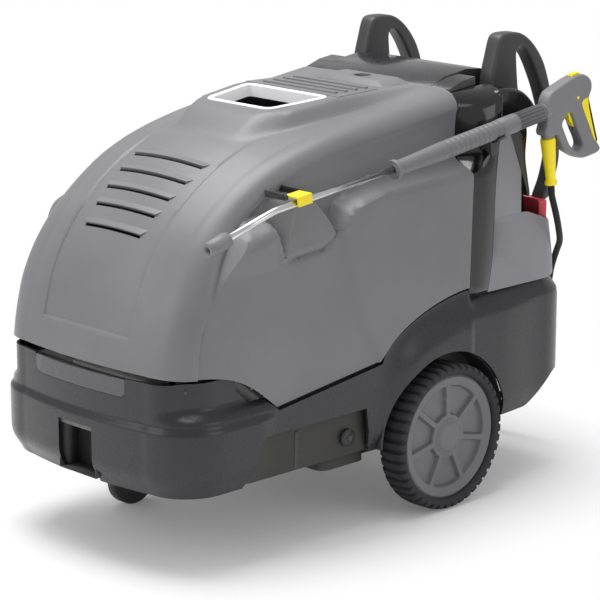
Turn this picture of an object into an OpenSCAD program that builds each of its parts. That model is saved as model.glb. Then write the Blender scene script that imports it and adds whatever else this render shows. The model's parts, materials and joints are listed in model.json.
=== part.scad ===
// Hot-water pressure washer: a wheeled chassis with a tilting hood, two push handles,
// boiler, motor and pump under the hood, and a stored lance with its hose.
// +Z is up, the bumper faces -Y, the push handles are at +Y, the lance is on the +X side.

/* [Chassis] */
// Half width of the hood and chassis walls
body_hw = 322; // [318:1:324]
// Distance from the centre to the front of the bumper
bumper_y = 665; // [650:1:680]
// Distance from the centre to the rear wall of the body
rear_y = 620; // [612:1:626]
// Radius of the bumper corners seen from above
bumper_corner = 120; // [90:1:140]
// Radius of the rear corners seen from above
rear_corner = 110; // [80:1:130]
// Ground clearance under the skirt
skirt_z = 178; // [165:1:190]
// Height of the bumper top under the hood lip
bumper_top_z = 428; // [422:1:430]
// Height of the groove and ledge round the bumper
ledge_z = 338; // [330:1:345]
// Wall of the moulded chassis
chassis_wall = 6; // [5:0.5:8]
// Height of the deck's top face
deck_z = 300; // [296:1:304]
// Thickness of the deck
deck_t = 8; // [6:1:10]

/* [Hood] */
// Height of the hood's flat top
hood_top_z = 950; // [940:1:955]
// Height of the hood's front lip
hood_lip_z = 441; // [438:1:445]
// Distance from the centre to the hood's front
hood_nose = 632; // [625:1:640]
// Wall of the hood
hood_wall = 4; // [3:0.5:5]
// Half width of the hood's shoulders
shoulder_hw = 290; // [280:1:296]
// Number of louvre slots
louvre_count = 5; // [3:1:6]
// Gap between the hood and what it shuts against
shut_gap = 6; // [5:0.5:8]

/* [Wheels] */
// Radius of the rear tyres
tyre_r = 171; // [165:1:174]
// Width of the rear tyres
tyre_w = 74; // [60:1:76]
// How far the outer face of a rear tyre stands out from the chassis wall
tyre_stand = 34; // [30:1:36]
// Depth of the tyre from its tread to its seat on the rim
tyre_depth = 25; // [23:1:27]
// Place of the rear axle along the machine
axle_y = 155; // [145:1:160]
// Radius of the rear axle
axle_r = 12.5; // [10:0.5:14]
// Running clearance of the wheels and rollers on their axles
run_gap = 0.05; // [0.03:0.01:0.08]
// Radius of the castor wheel
castor_r = 62.5; // [60:0.5:64]
// Width of the castor wheel
castor_w = 38; // [32:1:40]

/* [Handles] */
// Height of the handles' tops
handle_top_z = 1060; // [1045:1:1070]
// Distance from the centre line to the middle of a handle
handle_x = 207; // [203:1:210]
// Width of a handle's bar
handle_w = 42; // [36:1:44]
// Depth of a handle's bar
handle_d = 26; // [22:1:28]

/* [Lance] */
// Distance from the body's side to the stored lance
lance_stand = 27; // [26:0.5:28]
// Radius of the lance tube
tube_r = 8; // [6:0.5:8]
// Radius of the lance grip
grip_r = 22; // [18:0.5:22]
// Length of the nozzle sleeve
nozzle_l = 60; // [50:1:66]
// Outer radius of the high-pressure hose
hose_r = 7.75; // [7:0.25:8]

/* [Inside] */
// Radius of the boiler casing
boiler_r = 178; // [160:1:182]
// Length of the exhaust stack above the boiler's lid
stack_l = 65.4; // [60:0.1:90]
// Radius of the exhaust stack's bore
stack_r = 50; // [46:1:52]
// Radius of the motor's casing
motor_r = 74; // [66:1:78]

/* [Fittings] */
// Radius of the water inlet's thread
inlet_r = 13.2; // [13:0.1:13.3]
// Length of the water inlet's thread
inlet_l = 18; // [15:1:20]
// Radius of the main switch
switch_r = 24; // [20:1:27]
// Radius of the dosing knob
dosing_r = 17; // [14:1:20]
// Clearance between seated pieces
seat = 0.3; // [0.2:0.1:0.4]

/* [Hidden] */
$fn = 48;

// ---- Shared helpers ----

function mix(a, b, t) = a + (b - a) * t;
function clamp01(t) = min(1, max(0, t));
// Smooth step from 0 at a to 1 at b
function ease(a, b, v) = let(t = clamp01((v - a) / (b - a))) t * t * (3 - 2 * t);
function arc(c, r, a0, a1, n) =
    [for (i = [0:n]) let(a = mix(a0, a1, i / n)) c + r * [cos(a), sin(a)]];
// Catmull-Rom curve through points, with k steps a span
function curve(p, k) = [
    for (i = [0:len(p) - 2], s = [0:k - 1])
        let(a = p[max(i - 1, 0)], b = p[i], c = p[i + 1], d = p[min(i + 2, len(p) - 1)], t = s / k)
            0.5 * (2 * b + (c - a) * t + (2 * a - 5 * b + 4 * c - d) * t * t
                + (3 * b - a - 3 * c + d) * t * t * t),
    p[len(p) - 1]];
function flat(l) = [for (a = l) each a];
function unit(v) = v / norm(v);

// Two triangles of a grid cell whose corners are the indices a, b (next column), c, d (next row)
function cell(a, b, c, d) = [[a, b, d], [a, d, c]];

// Closed wall between two open grids of points, outer and inner, rows by columns
module wall_sheet(outer, inner) {
    n = len(outer);
    m = len(outer[0]);
    o = n * m;
    polyhedron(concat(flat(outer), flat(inner)), concat(
        [for (i = [0:n - 2], j = [0:m - 2])
            each cell(i * m + j, i * m + j + 1, (i + 1) * m + j, (i + 1) * m + j + 1)],
        [for (i = [0:n - 2], j = [0:m - 2])
            each cell(o + i * m + j + 1, o + i * m + j, o + (i + 1) * m + j + 1, o + (i + 1) * m + j)],
        [for (j = [0:m - 2]) each cell(j + 1, j, o + j + 1, o + j)],
        [for (j = [0:m - 2]) let(k = (n - 1) * m + j) each cell(k, k + 1, o + k, o + k + 1)],
        [for (i = [0:n - 2]) each cell(i * m, (i + 1) * m, o + i * m, o + (i + 1) * m)],
        [for (i = [0:n - 2]) let(k = i * m + m - 1) each cell(k + m, k, o + k + m, o + k)]));
}

// Closed wall between two stacks of closed rings, outer and inner, from the bottom up
module wall_ring(outer, inner) {
    n = len(outer);
    m = len(outer[0]);
    o = n * m;
    polyhedron(concat(flat(outer), flat(inner)), concat(
        [for (i = [0:n - 2], j = [0:m - 1]) let(k = (j + 1) % m)
            each cell(i * m + k, i * m + j, (i + 1) * m + k, (i + 1) * m + j)],
        [for (i = [0:n - 2], j = [0:m - 1]) let(k = (j + 1) % m)
            each cell(o + i * m + j, o + i * m + k, o + (i + 1) * m + j, o + (i + 1) * m + k)],
        [for (j = [0:m - 1]) let(k = (j + 1) % m) each cell(j, k, o + j, o + k)],
        [for (j = [0:m - 1]) let(k = (j + 1) % m, b = (n - 1) * m)
            each cell(b + k, b + j, o + b + k, o + b + j)]));
}

// Solid swept through a list of rings, with flat ends
module skin_rings(rings) {
    n = len(rings);
    m = len(rings[0]);
    polyhedron(flat(rings), concat(
        [[for (j = [0:m - 1]) j]],
        [for (i = [0:n - 2], j = [0:m - 1]) let(k = (j + 1) % m)
            each cell(i * m + k, i * m + j, (i + 1) * m + k, (i + 1) * m + j)],
        [[for (j = [0:m - 1]) n * m - 1 - j]]));
}

// Ring of a round tube at point p, square to direction d, turned so that its seam is level
function tube_ring(p, d, r, sides) =
    let(t = unit(d), u = unit(cross(t, abs(t[2]) > 0.9 ? [1, 0, 0] : [0, 0, 1])), v = cross(t, u))
        [for (a = [0:sides - 1]) p + r * (u * cos(360 * a / sides) + v * sin(360 * a / sides))];

module mirror_x(side) {
    if (side > 0) children();
    else mirror([1, 0, 0]) children();
}

// ---- Chassis wall ----

skin_nose = bumper_y - 8;          // front of the chassis wall before its lower swell
nose_bow = 18;                     // how far the front wall bows
corner_x = body_hw - bumper_corner;
corner_cy = -skin_nose + nose_bow + bumper_corner;
rear_cx = body_hw - rear_corner;
rear_cy = rear_y - rear_corner;
side_stations = [-480, -452, -436, -404, -360, -300, -200, -120, -92, -60, -43, -20, 10, 50,
    100, 155, 210, 239, 241, 310, 350, 400, 450];

// Half outline from above: each entry is point x, y and outward direction x, y
half_outline = concat(
    [for (x = [0, 50, 100, 160]) [x, -skin_nose + nose_bow * pow(x / corner_x, 2), 0, -1]],
    [for (a = [0:18:90]) [corner_x + bumper_corner * sin(a), corner_cy - bumper_corner * cos(a),
        sin(a), -cos(a)]],
    [for (y = side_stations) [body_hw, y, 1, 0]],
    [for (a = [0:18:90]) [rear_cx + rear_corner * cos(a), rear_cy + rear_corner * sin(a),
        cos(a), sin(a)]],
    [for (x = [140, 60, 0]) [x, rear_y, 0, 1]]);
half_n = len(half_outline);
outline = concat(half_outline, [for (i = [half_n - 2:-1:1]) let(s = half_outline[i])
    [-s[0], s[1], -s[2], s[3]]]);

// Points of the hood's lower edge along the side, in (y, z)
skirt_front = [-461, 430];
skirt_low = [-360, 342];
skirt_rear = [-43, 383];
hood_rear_low = [236, 505];
fender_n = 1.6;                    // roundness of the edge over the fender

// Lower edge of the hood's side at a place along the machine
function fender_edge(y) = let(u = clamp01((hood_rear_low[0] - y) / (hood_rear_low[0] - skirt_rear[0])))
    skirt_rear[1] + (hood_rear_low[1] - skirt_rear[1]) * pow(1 - pow(u, fender_n), 1 / fender_n);
function skirt_edge(y) =
    y < skirt_front[0] ? skirt_front[1] :
    y < skirt_low[0] ? mix(skirt_front[1], skirt_low[1], (y - skirt_front[0]) / (skirt_low[0] - skirt_front[0])) :
    y < skirt_rear[0] ? mix(skirt_low[1], skirt_rear[1], (y - skirt_low[0]) / (skirt_rear[0] - skirt_low[0])) :
    fender_edge(y);

rear_step_z = 482;                 // where the chassis ends and the rear body begins
side_cut_z = 285;                  // upper edge of the cut-out in the side skirt
side_cut = [-452, -404, -92];      // start, full height and end of that cut-out
function wall_top(y) = y < -455 ? bumper_top_z : y < 240 ? skirt_edge(y) - shut_gap
    : rear_step_z;
function wall_bottom(y) =
    y < side_cut[0] ? skirt_z :
    y < side_cut[1] ? mix(skirt_z + 40, side_cut_z, (y - side_cut[0]) / (side_cut[1] - side_cut[0])) :
    y < side_cut[2] ? side_cut_z :
    y < 440 ? skirt_z : skirt_z + 70 * ease(440, 560, y);

wall_rows = [0, 0.05, 0.13, 0.25, 0.4, 0.54, 0.62, 0.69, 0.78, 0.9, 1];

// How rounded the rear corner is at an entry of the outline: 0 on the flats, 1 half way round
function corner_at(s) = s[3] > 0 ? 2 * abs(s[2]) * s[3] : 0;
// How far the wall stands outside the outline, g being how rounded the corner is
function wall_swell(y, z, g = 0) =
    let(front = 1 - ease(-420, -360, y),
        scoop = ease(-640, -600, y) * (1 - ease(-400, -350, y)) * ease(ledge_z + 4, ledge_z + 34, z),
        tuck = 1 - ease(skirt_z - 10, skirt_z + 62, z),
        rear = ease(-60, 60, y))
    8 * (1 - ease(ledge_z - 16, ledge_z, z)) * front
        - 26 * scoop - 26 * pow(tuck, 1.6) * (y < -420 ? 1 : 0.5)
        + rear * (y < 236 ? 20 * ease(0, 90, wall_top(y) - z)
            : 16 * (1 - ease(330, 520, y)) * (1 - ease(430, rear_step_z, z)))
        - 11 * g * ease(425, rear_step_z, z);

module wall_grid() {
    rows = [for (f = wall_rows) [for (s = outline)
        let(z = mix(wall_bottom(s[1]), wall_top(s[1]), f), d = wall_swell(s[1], z, corner_at(s)))
            [s[0] + s[2] * d, s[1] + s[3] * d, z]]];
    inner = [for (f = wall_rows) [for (s = outline)
        let(z = mix(wall_bottom(s[1]), wall_top(s[1]), f), d = wall_swell(s[1], z, corner_at(s)) - chassis_wall)
            [s[0] + s[2] * d, s[1] + s[3] * d, z]]];
    wall_ring(rows, inner);
}

arch_r = tyre_r + 28;              // wheel arch in the side wall
tyre_out = body_hw + tyre_stand;    // outer face of a rear tyre
well_x = tyre_out - tyre_w - 18;   // inner wall of the wheel wells
tow_open = [56, 303];              // half width and top of the opening in the bumper's front
flap_x = 150;                      // half width of the front flap
flap_z = [386, 425];               // lower and upper edge of the flap
function front_y(x) = -skin_nose + nose_bow * pow(x / corner_x, 2);   // front wall of the bumper
flap_pivot = [front_y(flap_x) + 9.07, flap_z[1] - 5];
flap_pin_r = 3;

// Outline of the flap seen from the front, grown by a gap and run up to a height
module flap_outline(grow, top) polygon(concat(
    [[-flap_x - grow, top], [-flap_x - grow, flap_z[0] + 26]],
    arc([-flap_x + 14, flap_z[0] + 14], 14 + grow, 180, 270, 4),
    arc([flap_x - 14, flap_z[0] + 14], 14 + grow, 270, 360, 4),
    [[flap_x + grow, top]]));

module chassis() color([0.27, 0.27, 0.28]) difference() {
    union() {
        wall_grid();
        for (s = [-1, 1]) mirror_x(s) translate([well_x - chassis_wall, axle_y, tyre_r])
            rotate([0, 90, 0]) difference() {
                cylinder(r = arch_r + chassis_wall, h = body_hw + 4 - well_x);
                translate([0, 0, chassis_wall]) cylinder(r = arch_r, h = 200);
                translate([tyre_r - skirt_z, -300, -1]) cube([600, 600, 300]);
            }
        for (s = [-1, 1]) translate([s * (flap_x + 7) - 5, flap_pivot[0] - 3, flap_pivot[1] - 7])
            cube([10, 10, bumper_top_z - flap_pivot[1] + 7]);
    }
    translate([0, flap_pivot[0] + 2, 0]) rotate([90, 0, 0]) linear_extrude(60)
        flap_outline(1, bumper_top_z + 20);
    translate([-flap_x - 14, flap_pivot[0], flap_pivot[1]]) rotate([0, 90, 0])
        cylinder(r = flap_pin_r + run_gap, h = 2 * flap_x + 28);
    for (s = [-1, 1]) mirror_x(s) translate([well_x, axle_y, tyre_r]) rotate([0, 90, 0]) {
        cylinder(r = arch_r, h = 150);
        translate([0, 0, -20]) cylinder(r = axle_r + 2, h = 40);
    }
    translate([-tow_open[0], -bumper_y - 10, skirt_z - 60])
        cube([2 * tow_open[0], 60, tow_open[1] - skirt_z + 60]);
}

// ---- Deck and what stands on it ----

castor_pos = [-194, -344];         // where the castor wheel stands
castor_trail = 30;                 // how far the wheel trails behind its swivel
castor_top = 172;                  // top of the castor's plate
bearing_x = [well_x - 58, well_x - 18];   // inner and outer face of an axle bearing
well_gap = arch_r + chassis_wall + seat;
hinge_at = [-609, 459];            // hood's pivot in (y, z)
hinge_x = [232, 240];              // inner and outer face of a hinge ear
tank_neck = [body_hw - 60, -416];  // filler neck of the fuel tank
neck_r = 22;

module deck() color([0.2, 0.2, 0.21]) difference() {
    union() {
        translate([0, 0, deck_z - deck_t]) linear_extrude(deck_t) difference() {
            polygon([for (s = outline)
                let(d = min(wall_swell(s[1], deck_z), wall_swell(s[1], deck_z - deck_t))
                    - chassis_wall - seat)
                    [s[0] + s[2] * d, s[1] + s[3] * d]]);
            for (s = [-1, 1]) mirror_x(s) translate([well_x - chassis_wall - seat, axle_y - well_gap])
                square([120, 2 * well_gap]);
        }
        translate([castor_pos[0] - 52, castor_pos[1] - castor_trail - 52, castor_top + seat])
            cube([104, 104, deck_z - deck_t - castor_top]);
        for (s = [-1, 1]) mirror_x(s) translate([bearing_x[0], axle_y - 32, tyre_r - 26])
            cube([bearing_x[1] - bearing_x[0], 64, deck_z - deck_t - tyre_r + 27]);
        for (s = [-1, 1]) mirror_x(s) translate([hinge_x[0], hinge_at[0], 0]) {
            translate([0, 32, deck_z - 1]) cube([hinge_x[1] - hinge_x[0], 22, hinge_at[1] - deck_z + 9]);
            translate([0, 0, hinge_at[1] - 8]) cube([hinge_x[1] - hinge_x[0], 36, 16]);
            translate([0, 0, hinge_at[1]]) rotate([0, 90, 0]) cylinder(r = 8, h = hinge_x[1] - hinge_x[0]);
        }
    }
    translate([-400, hinge_at[0], hinge_at[1]]) rotate([0, 90, 0]) cylinder(r = 5 + run_gap, h = 800);
    translate([tank_neck[0], tank_neck[1], deck_z - 20]) cylinder(r = neck_r + 1, h = 40);
    translate([-400, axle_y, tyre_r]) rotate([0, 90, 0]) cylinder(r = axle_r + run_gap, h = 800);
    translate([castor_pos[0], castor_pos[1] - castor_trail, castor_top - 1])
        cylinder(r = 9 + run_gap, h = 61);
}

body_wall = 5;
body_top_z = 653;                  // seam of the rear body along the side
shelf_z = 600;                     // shelf between the handles' feet
function body_top(y) = body_top_z - 48 * ease(420, 590, y);
column_back = [304, 340];          // rear edge of a column at z 509 and z 845
function column_edge(z) = mix(column_back[0], column_back[1], (z - 509) / 336);
body_outline = [for (s = half_outline) if (s[1] > 300) s];
// Point of the rear body's wall at a height, d outside its outline
function body_at(s, d, z) = [s[0] + s[2] * d, s[1] < 330 ? column_edge(z) + seat : s[1] + s[3] * d, z];
body_round = concat(body_outline, [for (i = [len(body_outline) - 2:-1:0])
    let(s = body_outline[i]) [-s[0], s[1], -s[2], s[3]]]);
function body_in(s, z) = let(t = ease(rear_step_z, body_top_z, z)) -2 - 8 * t - corner_at(s) * (11 + 7 * t);

module rear_body() color([0.52, 0.51, 0.53]) {
    levels = [0, 0.3, 0.6, 0.9, 1];
    wall_sheet(
        [for (s = body_round) [for (f = levels) let(z = mix(rear_step_z + seat, body_top(s[1]), f))
            body_at(s, body_in(s, z), z)]],
        [for (s = body_round) [for (f = levels) let(z = mix(rear_step_z + seat, body_top(s[1]), f))
            body_at(s, body_in(s, z) - body_wall, z)]]);
    translate([0, 0, shelf_z - body_wall]) linear_extrude(body_wall)
        polygon([for (s = body_round) let(d = body_in(s, shelf_z) - body_wall / 2)
            [s[0] + s[2] * d, max(s[1] + s[3] * d, column_edge(shelf_z) + seat)]]);
}

// ---- Rear side panels, columns, console and handles ----

hood_rear_top = 250;               // rear edge of the hood at its top
function hood_rear_at(z) = mix(hood_rear_low[0], hood_rear_top,
    (z - hood_rear_low[1]) / (hood_top_z - hood_rear_low[1]));
column_out = body_hw - 2;          // outer face of the columns
lance_x = body_hw + lance_stand;   // plane of the lance and the gun
column_in = column_out - 84;       // inner face of their tops
panel_back = 415;                  // rear edge of the upper side panels
console_hw = 178;                  // half width of the console between the handles
console_back = 588;                // rear face of the console

module column() {
    foot_z = rear_step_z + seat;
    module slab(z, x0, x1, y1, r) translate([0, 0, z]) linear_extrude(1)
        polygon(concat([[x0, hood_rear_at(z) + shut_gap], [x1 - r, hood_rear_at(z) + shut_gap]],
            arc([x1 - r, hood_rear_at(z) + shut_gap + r], r, -60, 0, 3),
            arc([x1 - r, y1 - r], r, 0, 90, 3), [[x0, y1]]));
    hull() {
        slab(foot_z, column_in + 48, column_out, column_edge(foot_z), 12);
        slab(845, column_in + 26, column_out - 4, column_back[1], 14);
    }
    hull() {
        slab(844, column_in + 26, column_out - 4, column_back[1], 14);
        slab(908, column_in + 2, column_out - 18, column_back[1] + 6, 18);
    }
    hull() {
        slab(907, column_in + 2, column_out - 18, column_back[1] + 6, 18);
        slab(938, column_in, column_out - 42, column_back[1] + 8, 20);
        slab(953, column_in, column_out - 74, column_back[1] + 4, 8);
    }
    // shoulder that the handle's front leg stands on
    hull() {
        translate([handle_x - 24, column_back[1] + 10, 862]) cube([70, 96, 20]);
        translate([250, column_back[1] + 34, 905]) rotate([0, 90, 0]) cylinder(r = 26, h = 40, $fn = 24);
        translate([252, column_back[1] + 120, 880]) rotate([0, 90, 0]) cylinder(r = 18, h = 46, $fn = 24);
        translate([240, column_back[1] + 10, 862]) cube([70, 20, 70]);
    }
    // socket of the handle's front foot
    translate([handle_x - handle_w / 2 - 3, 418, 862]) cube([handle_w + 6, 40, 42 - seat]);
}
module column_left() color([0.1, 0.1, 0.11]) column();
module column_right() color([0.1, 0.1, 0.11]) mirror([1, 0, 0]) column();

module side_panel() {
    front = [for (z = [body_top_z + seat, 843]) [column_edge(z) + seat, z]];
    translate([column_out - 26, 0, 0]) rotate([90, 0, 90]) linear_extrude(24)
        polygon(concat(front, [[column_back[1] + 2, 861], [panel_back, 861],
            [panel_back + 4, body_top_z + seat]]));
    translate([console_hw + seat, panel_back - 6, body_top_z + seat])
        cube([column_out - 2 - console_hw - seat, 6, 861 - body_top_z - seat]);
}
module side_panel_left() color([0.52, 0.51, 0.53]) side_panel();
module side_panel_right() color([0.52, 0.51, 0.53]) mirror([1, 0, 0]) side_panel();

// Sloping control face, from its lower rear corner to its upper front corner in (y, z)
face_low = [583, 815];
face_high = [440, 966];
face_dir = unit(face_high - face_low);
face_tilt = atan2(face_dir[1], -face_dir[0]);
panel_t = 4;

module console() color([0.12, 0.12, 0.13]) {
    difference() {
        translate([-console_hw, 0, 0]) rotate([90, 0, 90]) linear_extrude(2 * console_hw)
            polygon([[257, shelf_z + seat], [257, 952], [300, 968], [375, 978], [425, 974], face_high,
                face_low, [console_back, 790], [console_back, shelf_z + seat]]);
        translate([6 - console_hw, 0, 0]) rotate([90, 0, 90]) linear_extrude(2 * console_hw - 12)
            polygon([[263, shelf_z - 1], [263, 946], [302, 961], [375, 970], [422, 967], face_high - [6, 8],
                face_low - [8, 4], [console_back - 6, 788], [console_back - 6, shelf_z - 1]]);
    }
    for (x = [2 - column_in, console_hw - 1]) translate([x, 0, 0]) rotate([90, 0, 90])
        linear_extrude(column_in - 1 - console_hw)
        polygon([[257, 904], [257, 950], [300, 964], [345, 970], [column_back[1] + 8, 904]]);
}

// Places children on the control face: x along the machine's width, y up the slope
module on_face() translate([0, face_low[0], face_low[1]])
    rotate([0, 0, 180]) rotate([face_tilt, 0, 0]) children();

face_l = norm(face_high - face_low);
panel_inset = 14;                  // border round the control panel
switch_at = [-75, face_l / 2];
dosing_at = [10, face_l / 2 - 22];
gauge_at = [100, face_l / 2 + 14];
lamps_at = [-20, face_l - 52];
gauge_r = 34;

module control_panel() color([0.45, 0.46, 0.47]) on_face() difference() {
    translate([-console_hw + panel_inset, panel_inset, seat])
        cube([2 * (console_hw - panel_inset), face_l - 2 * panel_inset, panel_t]);
    translate([gauge_at[0], gauge_at[1], 0]) cylinder(r = gauge_r + seat, h = 20);
    for (p = [switch_at, dosing_at]) translate([p[0], p[1], 0]) cylinder(r = 5 + run_gap, h = 20);
}

module knob(r, h, ribs) {
    difference() {
        union() {
            cylinder(r = r * 0.86, h = h);
            cylinder(r = r, h = 5);
            for (i = [1:ribs]) rotate([0, 0, 360 * i / ribs]) translate([r * 0.8, -1.2, 0])
                cube([r * 0.14, 2.4, h - 1]);
        }
        translate([-r * 0.12, r * 0.2, h - 1.5]) cube([r * 0.24, r * 0.6, 3]);
    }
    translate([0, 0, -panel_t]) cylinder(r = 5, h = panel_t + 1);
}

module main_switch() color([0.08, 0.08, 0.09]) on_face()
    translate([switch_at[0], switch_at[1], panel_t + 2 * seat]) knob(switch_r, 22, 18);
module dosing_knob() color([0.08, 0.08, 0.09]) on_face()
    translate([dosing_at[0], dosing_at[1], panel_t + 2 * seat]) knob(dosing_r, 18, 14);
module pressure_gauge() color([0.9, 0.9, 0.9]) on_face()
    translate([gauge_at[0], gauge_at[1], seat]) rotate_extrude()
        polygon([[0, 0], [gauge_r, 0], [gauge_r, 9], [gauge_r - 3, 11], [gauge_r - 4, 8], [0, 8]]);
module indicator_lamps() color([0.2, 0.7, 0.25]) on_face()
    for (i = [0:4]) translate([lamps_at[0] + 18 * (i - 2), lamps_at[1], panel_t + 2 * seat])
        cylinder(r = 4.5, h = 3);

// Centre line of a handle in (y, z), from its front foot over the top to its rear foot
marker_h = 40;
handle_foot = shelf_z + 5 + marker_h + 2 * seat;
handle_line = curve([[440, 904], [452, 938], [466, 1000], [478, handle_top_z - 17],
    [512, handle_top_z - 17], [548, 1022], [582, 985], [606, 930], [625, 870], [645, 800],
    [652, 745], [638, 690], [612, handle_foot]], 3);

function handle_ring(i) =
    let(p = handle_line[i], n = len(handle_line) - 1,
        d = i == 0 ? [0, 1] : i == n ? [0, -1] : unit(handle_line[i + 1] - handle_line[i - 1]),
        u = [-d[1], d[0]], w = handle_w / 2, h = handle_d / 2, c = 6)
        [for (q = [[w, h - c], [w - c * 0.3, h - c * 0.3], [w - c, h], [c - w, h],
            [c * 0.3 - w, h - c * 0.3], [-w, h - c], [-w, c - h], [c * 0.3 - w, c * 0.3 - h],
            [c - w, -h], [w - c, -h], [w - c * 0.3, c * 0.3 - h], [w, c - h]])
                [q[0], p[0] + u[0] * q[1], p[1] + u[1] * q[1]]];

module handle() translate([handle_x, 0, 0])
    skin_rings([for (i = [len(handle_line) - 1:-1:0]) handle_ring(i)]);
module handle_left() color([0.22, 0.22, 0.23]) handle();
module handle_right() color([0.22, 0.22, 0.23]) mirror([1, 0, 0]) handle();

marker_x = 164;                    // inner end of a rear marker
marker_d = 21;
module rear_marker() translate([0, 0, body_top(rear_y) + seat]) linear_extrude(marker_h)
    let(r = rear_corner - 2 - 7, steps = [66:4:90])
        polygon(concat([for (a = steps) let(q = r - 17 * sin(2 * a)) [rear_cx + q * cos(a), rear_cy + q * sin(a)]],
            [[marker_x, rear_cy + r], [marker_x, rear_cy + r - marker_d]],
            [for (k = [90:-4:66]) let(q = r - marker_d - 17 * sin(2 * k))
                [rear_cx + q * cos(k), rear_cy + q * sin(k)]]));
module rear_marker_left() color([0.8, 0.1, 0.12]) rear_marker();
module rear_marker_right() color([0.8, 0.1, 0.12]) mirror([1, 0, 0]) rear_marker();

// ---- Hood ----

// Shoulder line from the lip to the rear edge, as shares of its run and of its rise
shoulder_line = curve([for (p = [[0, 0], [0.008, 0.086], [0.023, 0.19], [0.044, 0.297], [0.0805, 0.4165],
    [0.1315, 0.534], [0.2, 0.6444], [0.28, 0.7387], [0.356, 0.8], [0.4195, 0.837], [0.484, 0.866],
    [0.558, 0.893], [0.671, 0.9234], [0.8356, 0.9607], [1, 0.998]])
    [mix(-hood_nose, hood_rear_top, p[0]), mix(hood_lip_z, hood_top_z, p[1])]], 2);
function narrow(z) = ease(640, 800, z);                    // 1 where the shoulders are drawn in
function top_hw(z) = shoulder_hw - 26 * narrow(z);
function fillet_w(z) = 88 - 36 * narrow(z);                // width of the shoulder fillet
function fillet_h(z) = 62 - 22 * narrow(z);                // its depth
channel_depth = 6;                 // depth of the channel that the lance lies in
hood_low = concat(
    [for (i = [0:6]) mix(skirt_front, skirt_low, i / 6)],
    [for (i = [1:10]) mix(skirt_low, skirt_rear, i / 10)],
    [for (i = [1:7]) let(y = mix(skirt_rear[0], 120, i / 7)) [y, fender_edge(y)]],
    [for (i = [1:5]) let(y = mix(120, hood_rear_low[0], i / 5)) [y, fender_edge(y)]]);
hood_sections = [for (i = [0:len(hood_low) - 1]) [shoulder_line[i], hood_low[i]]];

lance_line = [[-587, 728], [-399, 783], [-38, 822], [452, 890]];
function lance_z(y) = y < lance_line[1][0]
    ? mix(lance_line[0][1], lance_line[1][1], (y - lance_line[0][0]) / (lance_line[1][0] - lance_line[0][0]))
    : mix(lance_line[1][1], lance_line[3][1], (y - lance_line[1][0]) / (lance_line[3][0] - lance_line[1][0]));

// Height where the side starts to flare out: low at the front, high behind the pier
function flare_z(y) = mix(652, 742, ease(-230, -120, y));
function pier(y, z) = ease(-372, -330, y) * (1 - ease(-262, -200, y)) * (1 - ease(774, 816, z));
function side_x(y, z, sw) =
    let(low = ease(-610, -430, y),
        flare = max(1 - ease(flare_z(y) - 26, flare_z(y) + 34, z), 0.92 * pier(y, z)),
        channel = ease(-560, -400, y) * ease(lance_z(y) - 80, lance_z(y) - 20, z)
            * (1 - ease(lance_z(y) - 6, lance_z(y) + 84, z)))
    sw + (body_hw - sw) * low * flare - channel_depth * channel;

// Half section of the hood: x and depth below the shoulder line
top_x = [0, 50, 98, 120, 140, 149, 168, 190];
fillet_steps = [0, 18, 36, 54, 72, 90];
// Lines that the side's points follow: height above the lance or above the flare
side_lines = [[0, 84], [0, 44], [0, 6], [0, -36], [1, 34], [1, 4], [1, -26], [1, -60]];
side_low = [0.35, 0.7, 1];         // the rest of the side, as shares of what is left

// Depth at which a section's side meets line k, kept at least 5 from the last one
function side_depth(c, d, l, k) =
    let(v = side_lines[k], last = k == 0 ? fillet_h(c[1]) : side_depth(c, d, l, k - 1),
        above = [for (n = [fillet_h(c[1]):6:l]) let(q = c + d * n)
            if (q[1] > (v[0] == 0 ? lance_z(q[0]) : flare_z(q[0])) + v[1]) n])
        min(l - 8 * (len(side_lines) - k), max(last + 5, len(above) == 0 ? 0 : above[len(above) - 1]));

// Sunken centre panel below the louvres
function panel_depth(x, z) = 5 * (1 - ease(140, 149, abs(x))) * ease(500, 512, z) * (1 - ease(820, 880, z));
function crown(c) = (15 + 13 * ease(500, 650, c[1])) * (1 - ease(-150, 60, c[0]));
// Low plateau round the exhaust: foot and top edge by y, and its height
plateau_line = [[-293, 118, 84], [-240, 140, 98], [-203, 160, 104], [-155, 172, 136], [-43, 187, 149],
    [80, 190, 150], [147, 186, 150], [260, 170, 146]];
function plateau_at(y, k) = lookup(y, [for (p = plateau_line) [p[0], p[k]]]);
function plateau_z(y) = hood_top_z - 14 * (1 - ease(-190, -10, y));
function raised(x, y, z) = ease(-293, -186, y) * (1 - ease(plateau_at(y, 2), plateau_at(y, 1), abs(x)))
    * max(0, plateau_z(y) - z);

function hood_point(i, j, t) =
    let(c = hood_sections[i][0], b = hood_sections[i][1], l = norm(b - c), d = (b - c) / l,
        nt = len(top_x), nf = len(fillet_steps), sw = top_hw(c[1]), fw = fillet_w(c[1]),
        x = j < nt ? top_x[j] : 0,
        p = j < nt ? [x, t - crown(c) * (1 - pow(x / (sw - fw), 2)) + panel_depth(x, c[1])]
            : j < nt + nf
            ? let(a = fillet_steps[j - nt])
                [sw - fw + (fw - t) * sin(a), t + (fillet_h(c[1]) - t) * (1 - cos(a))]
            : let(k = j - nt - nf, ns = len(side_lines), n = k < ns ? side_depth(c, d, l, k)
                : mix(side_depth(c, d, l, ns - 1), l, side_low[k - ns]), q = c + d * n)
                [side_x(q[0], q[1], sw) - t, n],
        q = c + d * p[1])
        [p[0], q[0], j < nt ? q[1] + raised(x, q[0], q[1] + t) : q[1]];

hood_m = len(top_x) + len(fillet_steps) + len(side_lines) + len(side_low);
function hood_row(i, t) = concat(
    [for (j = [hood_m - 1:-1:1]) let(p = hood_point(i, j, t)) [-p[0], p[1], p[2]]],
    [for (j = [0:hood_m - 1]) hood_point(i, j, t)]);

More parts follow.
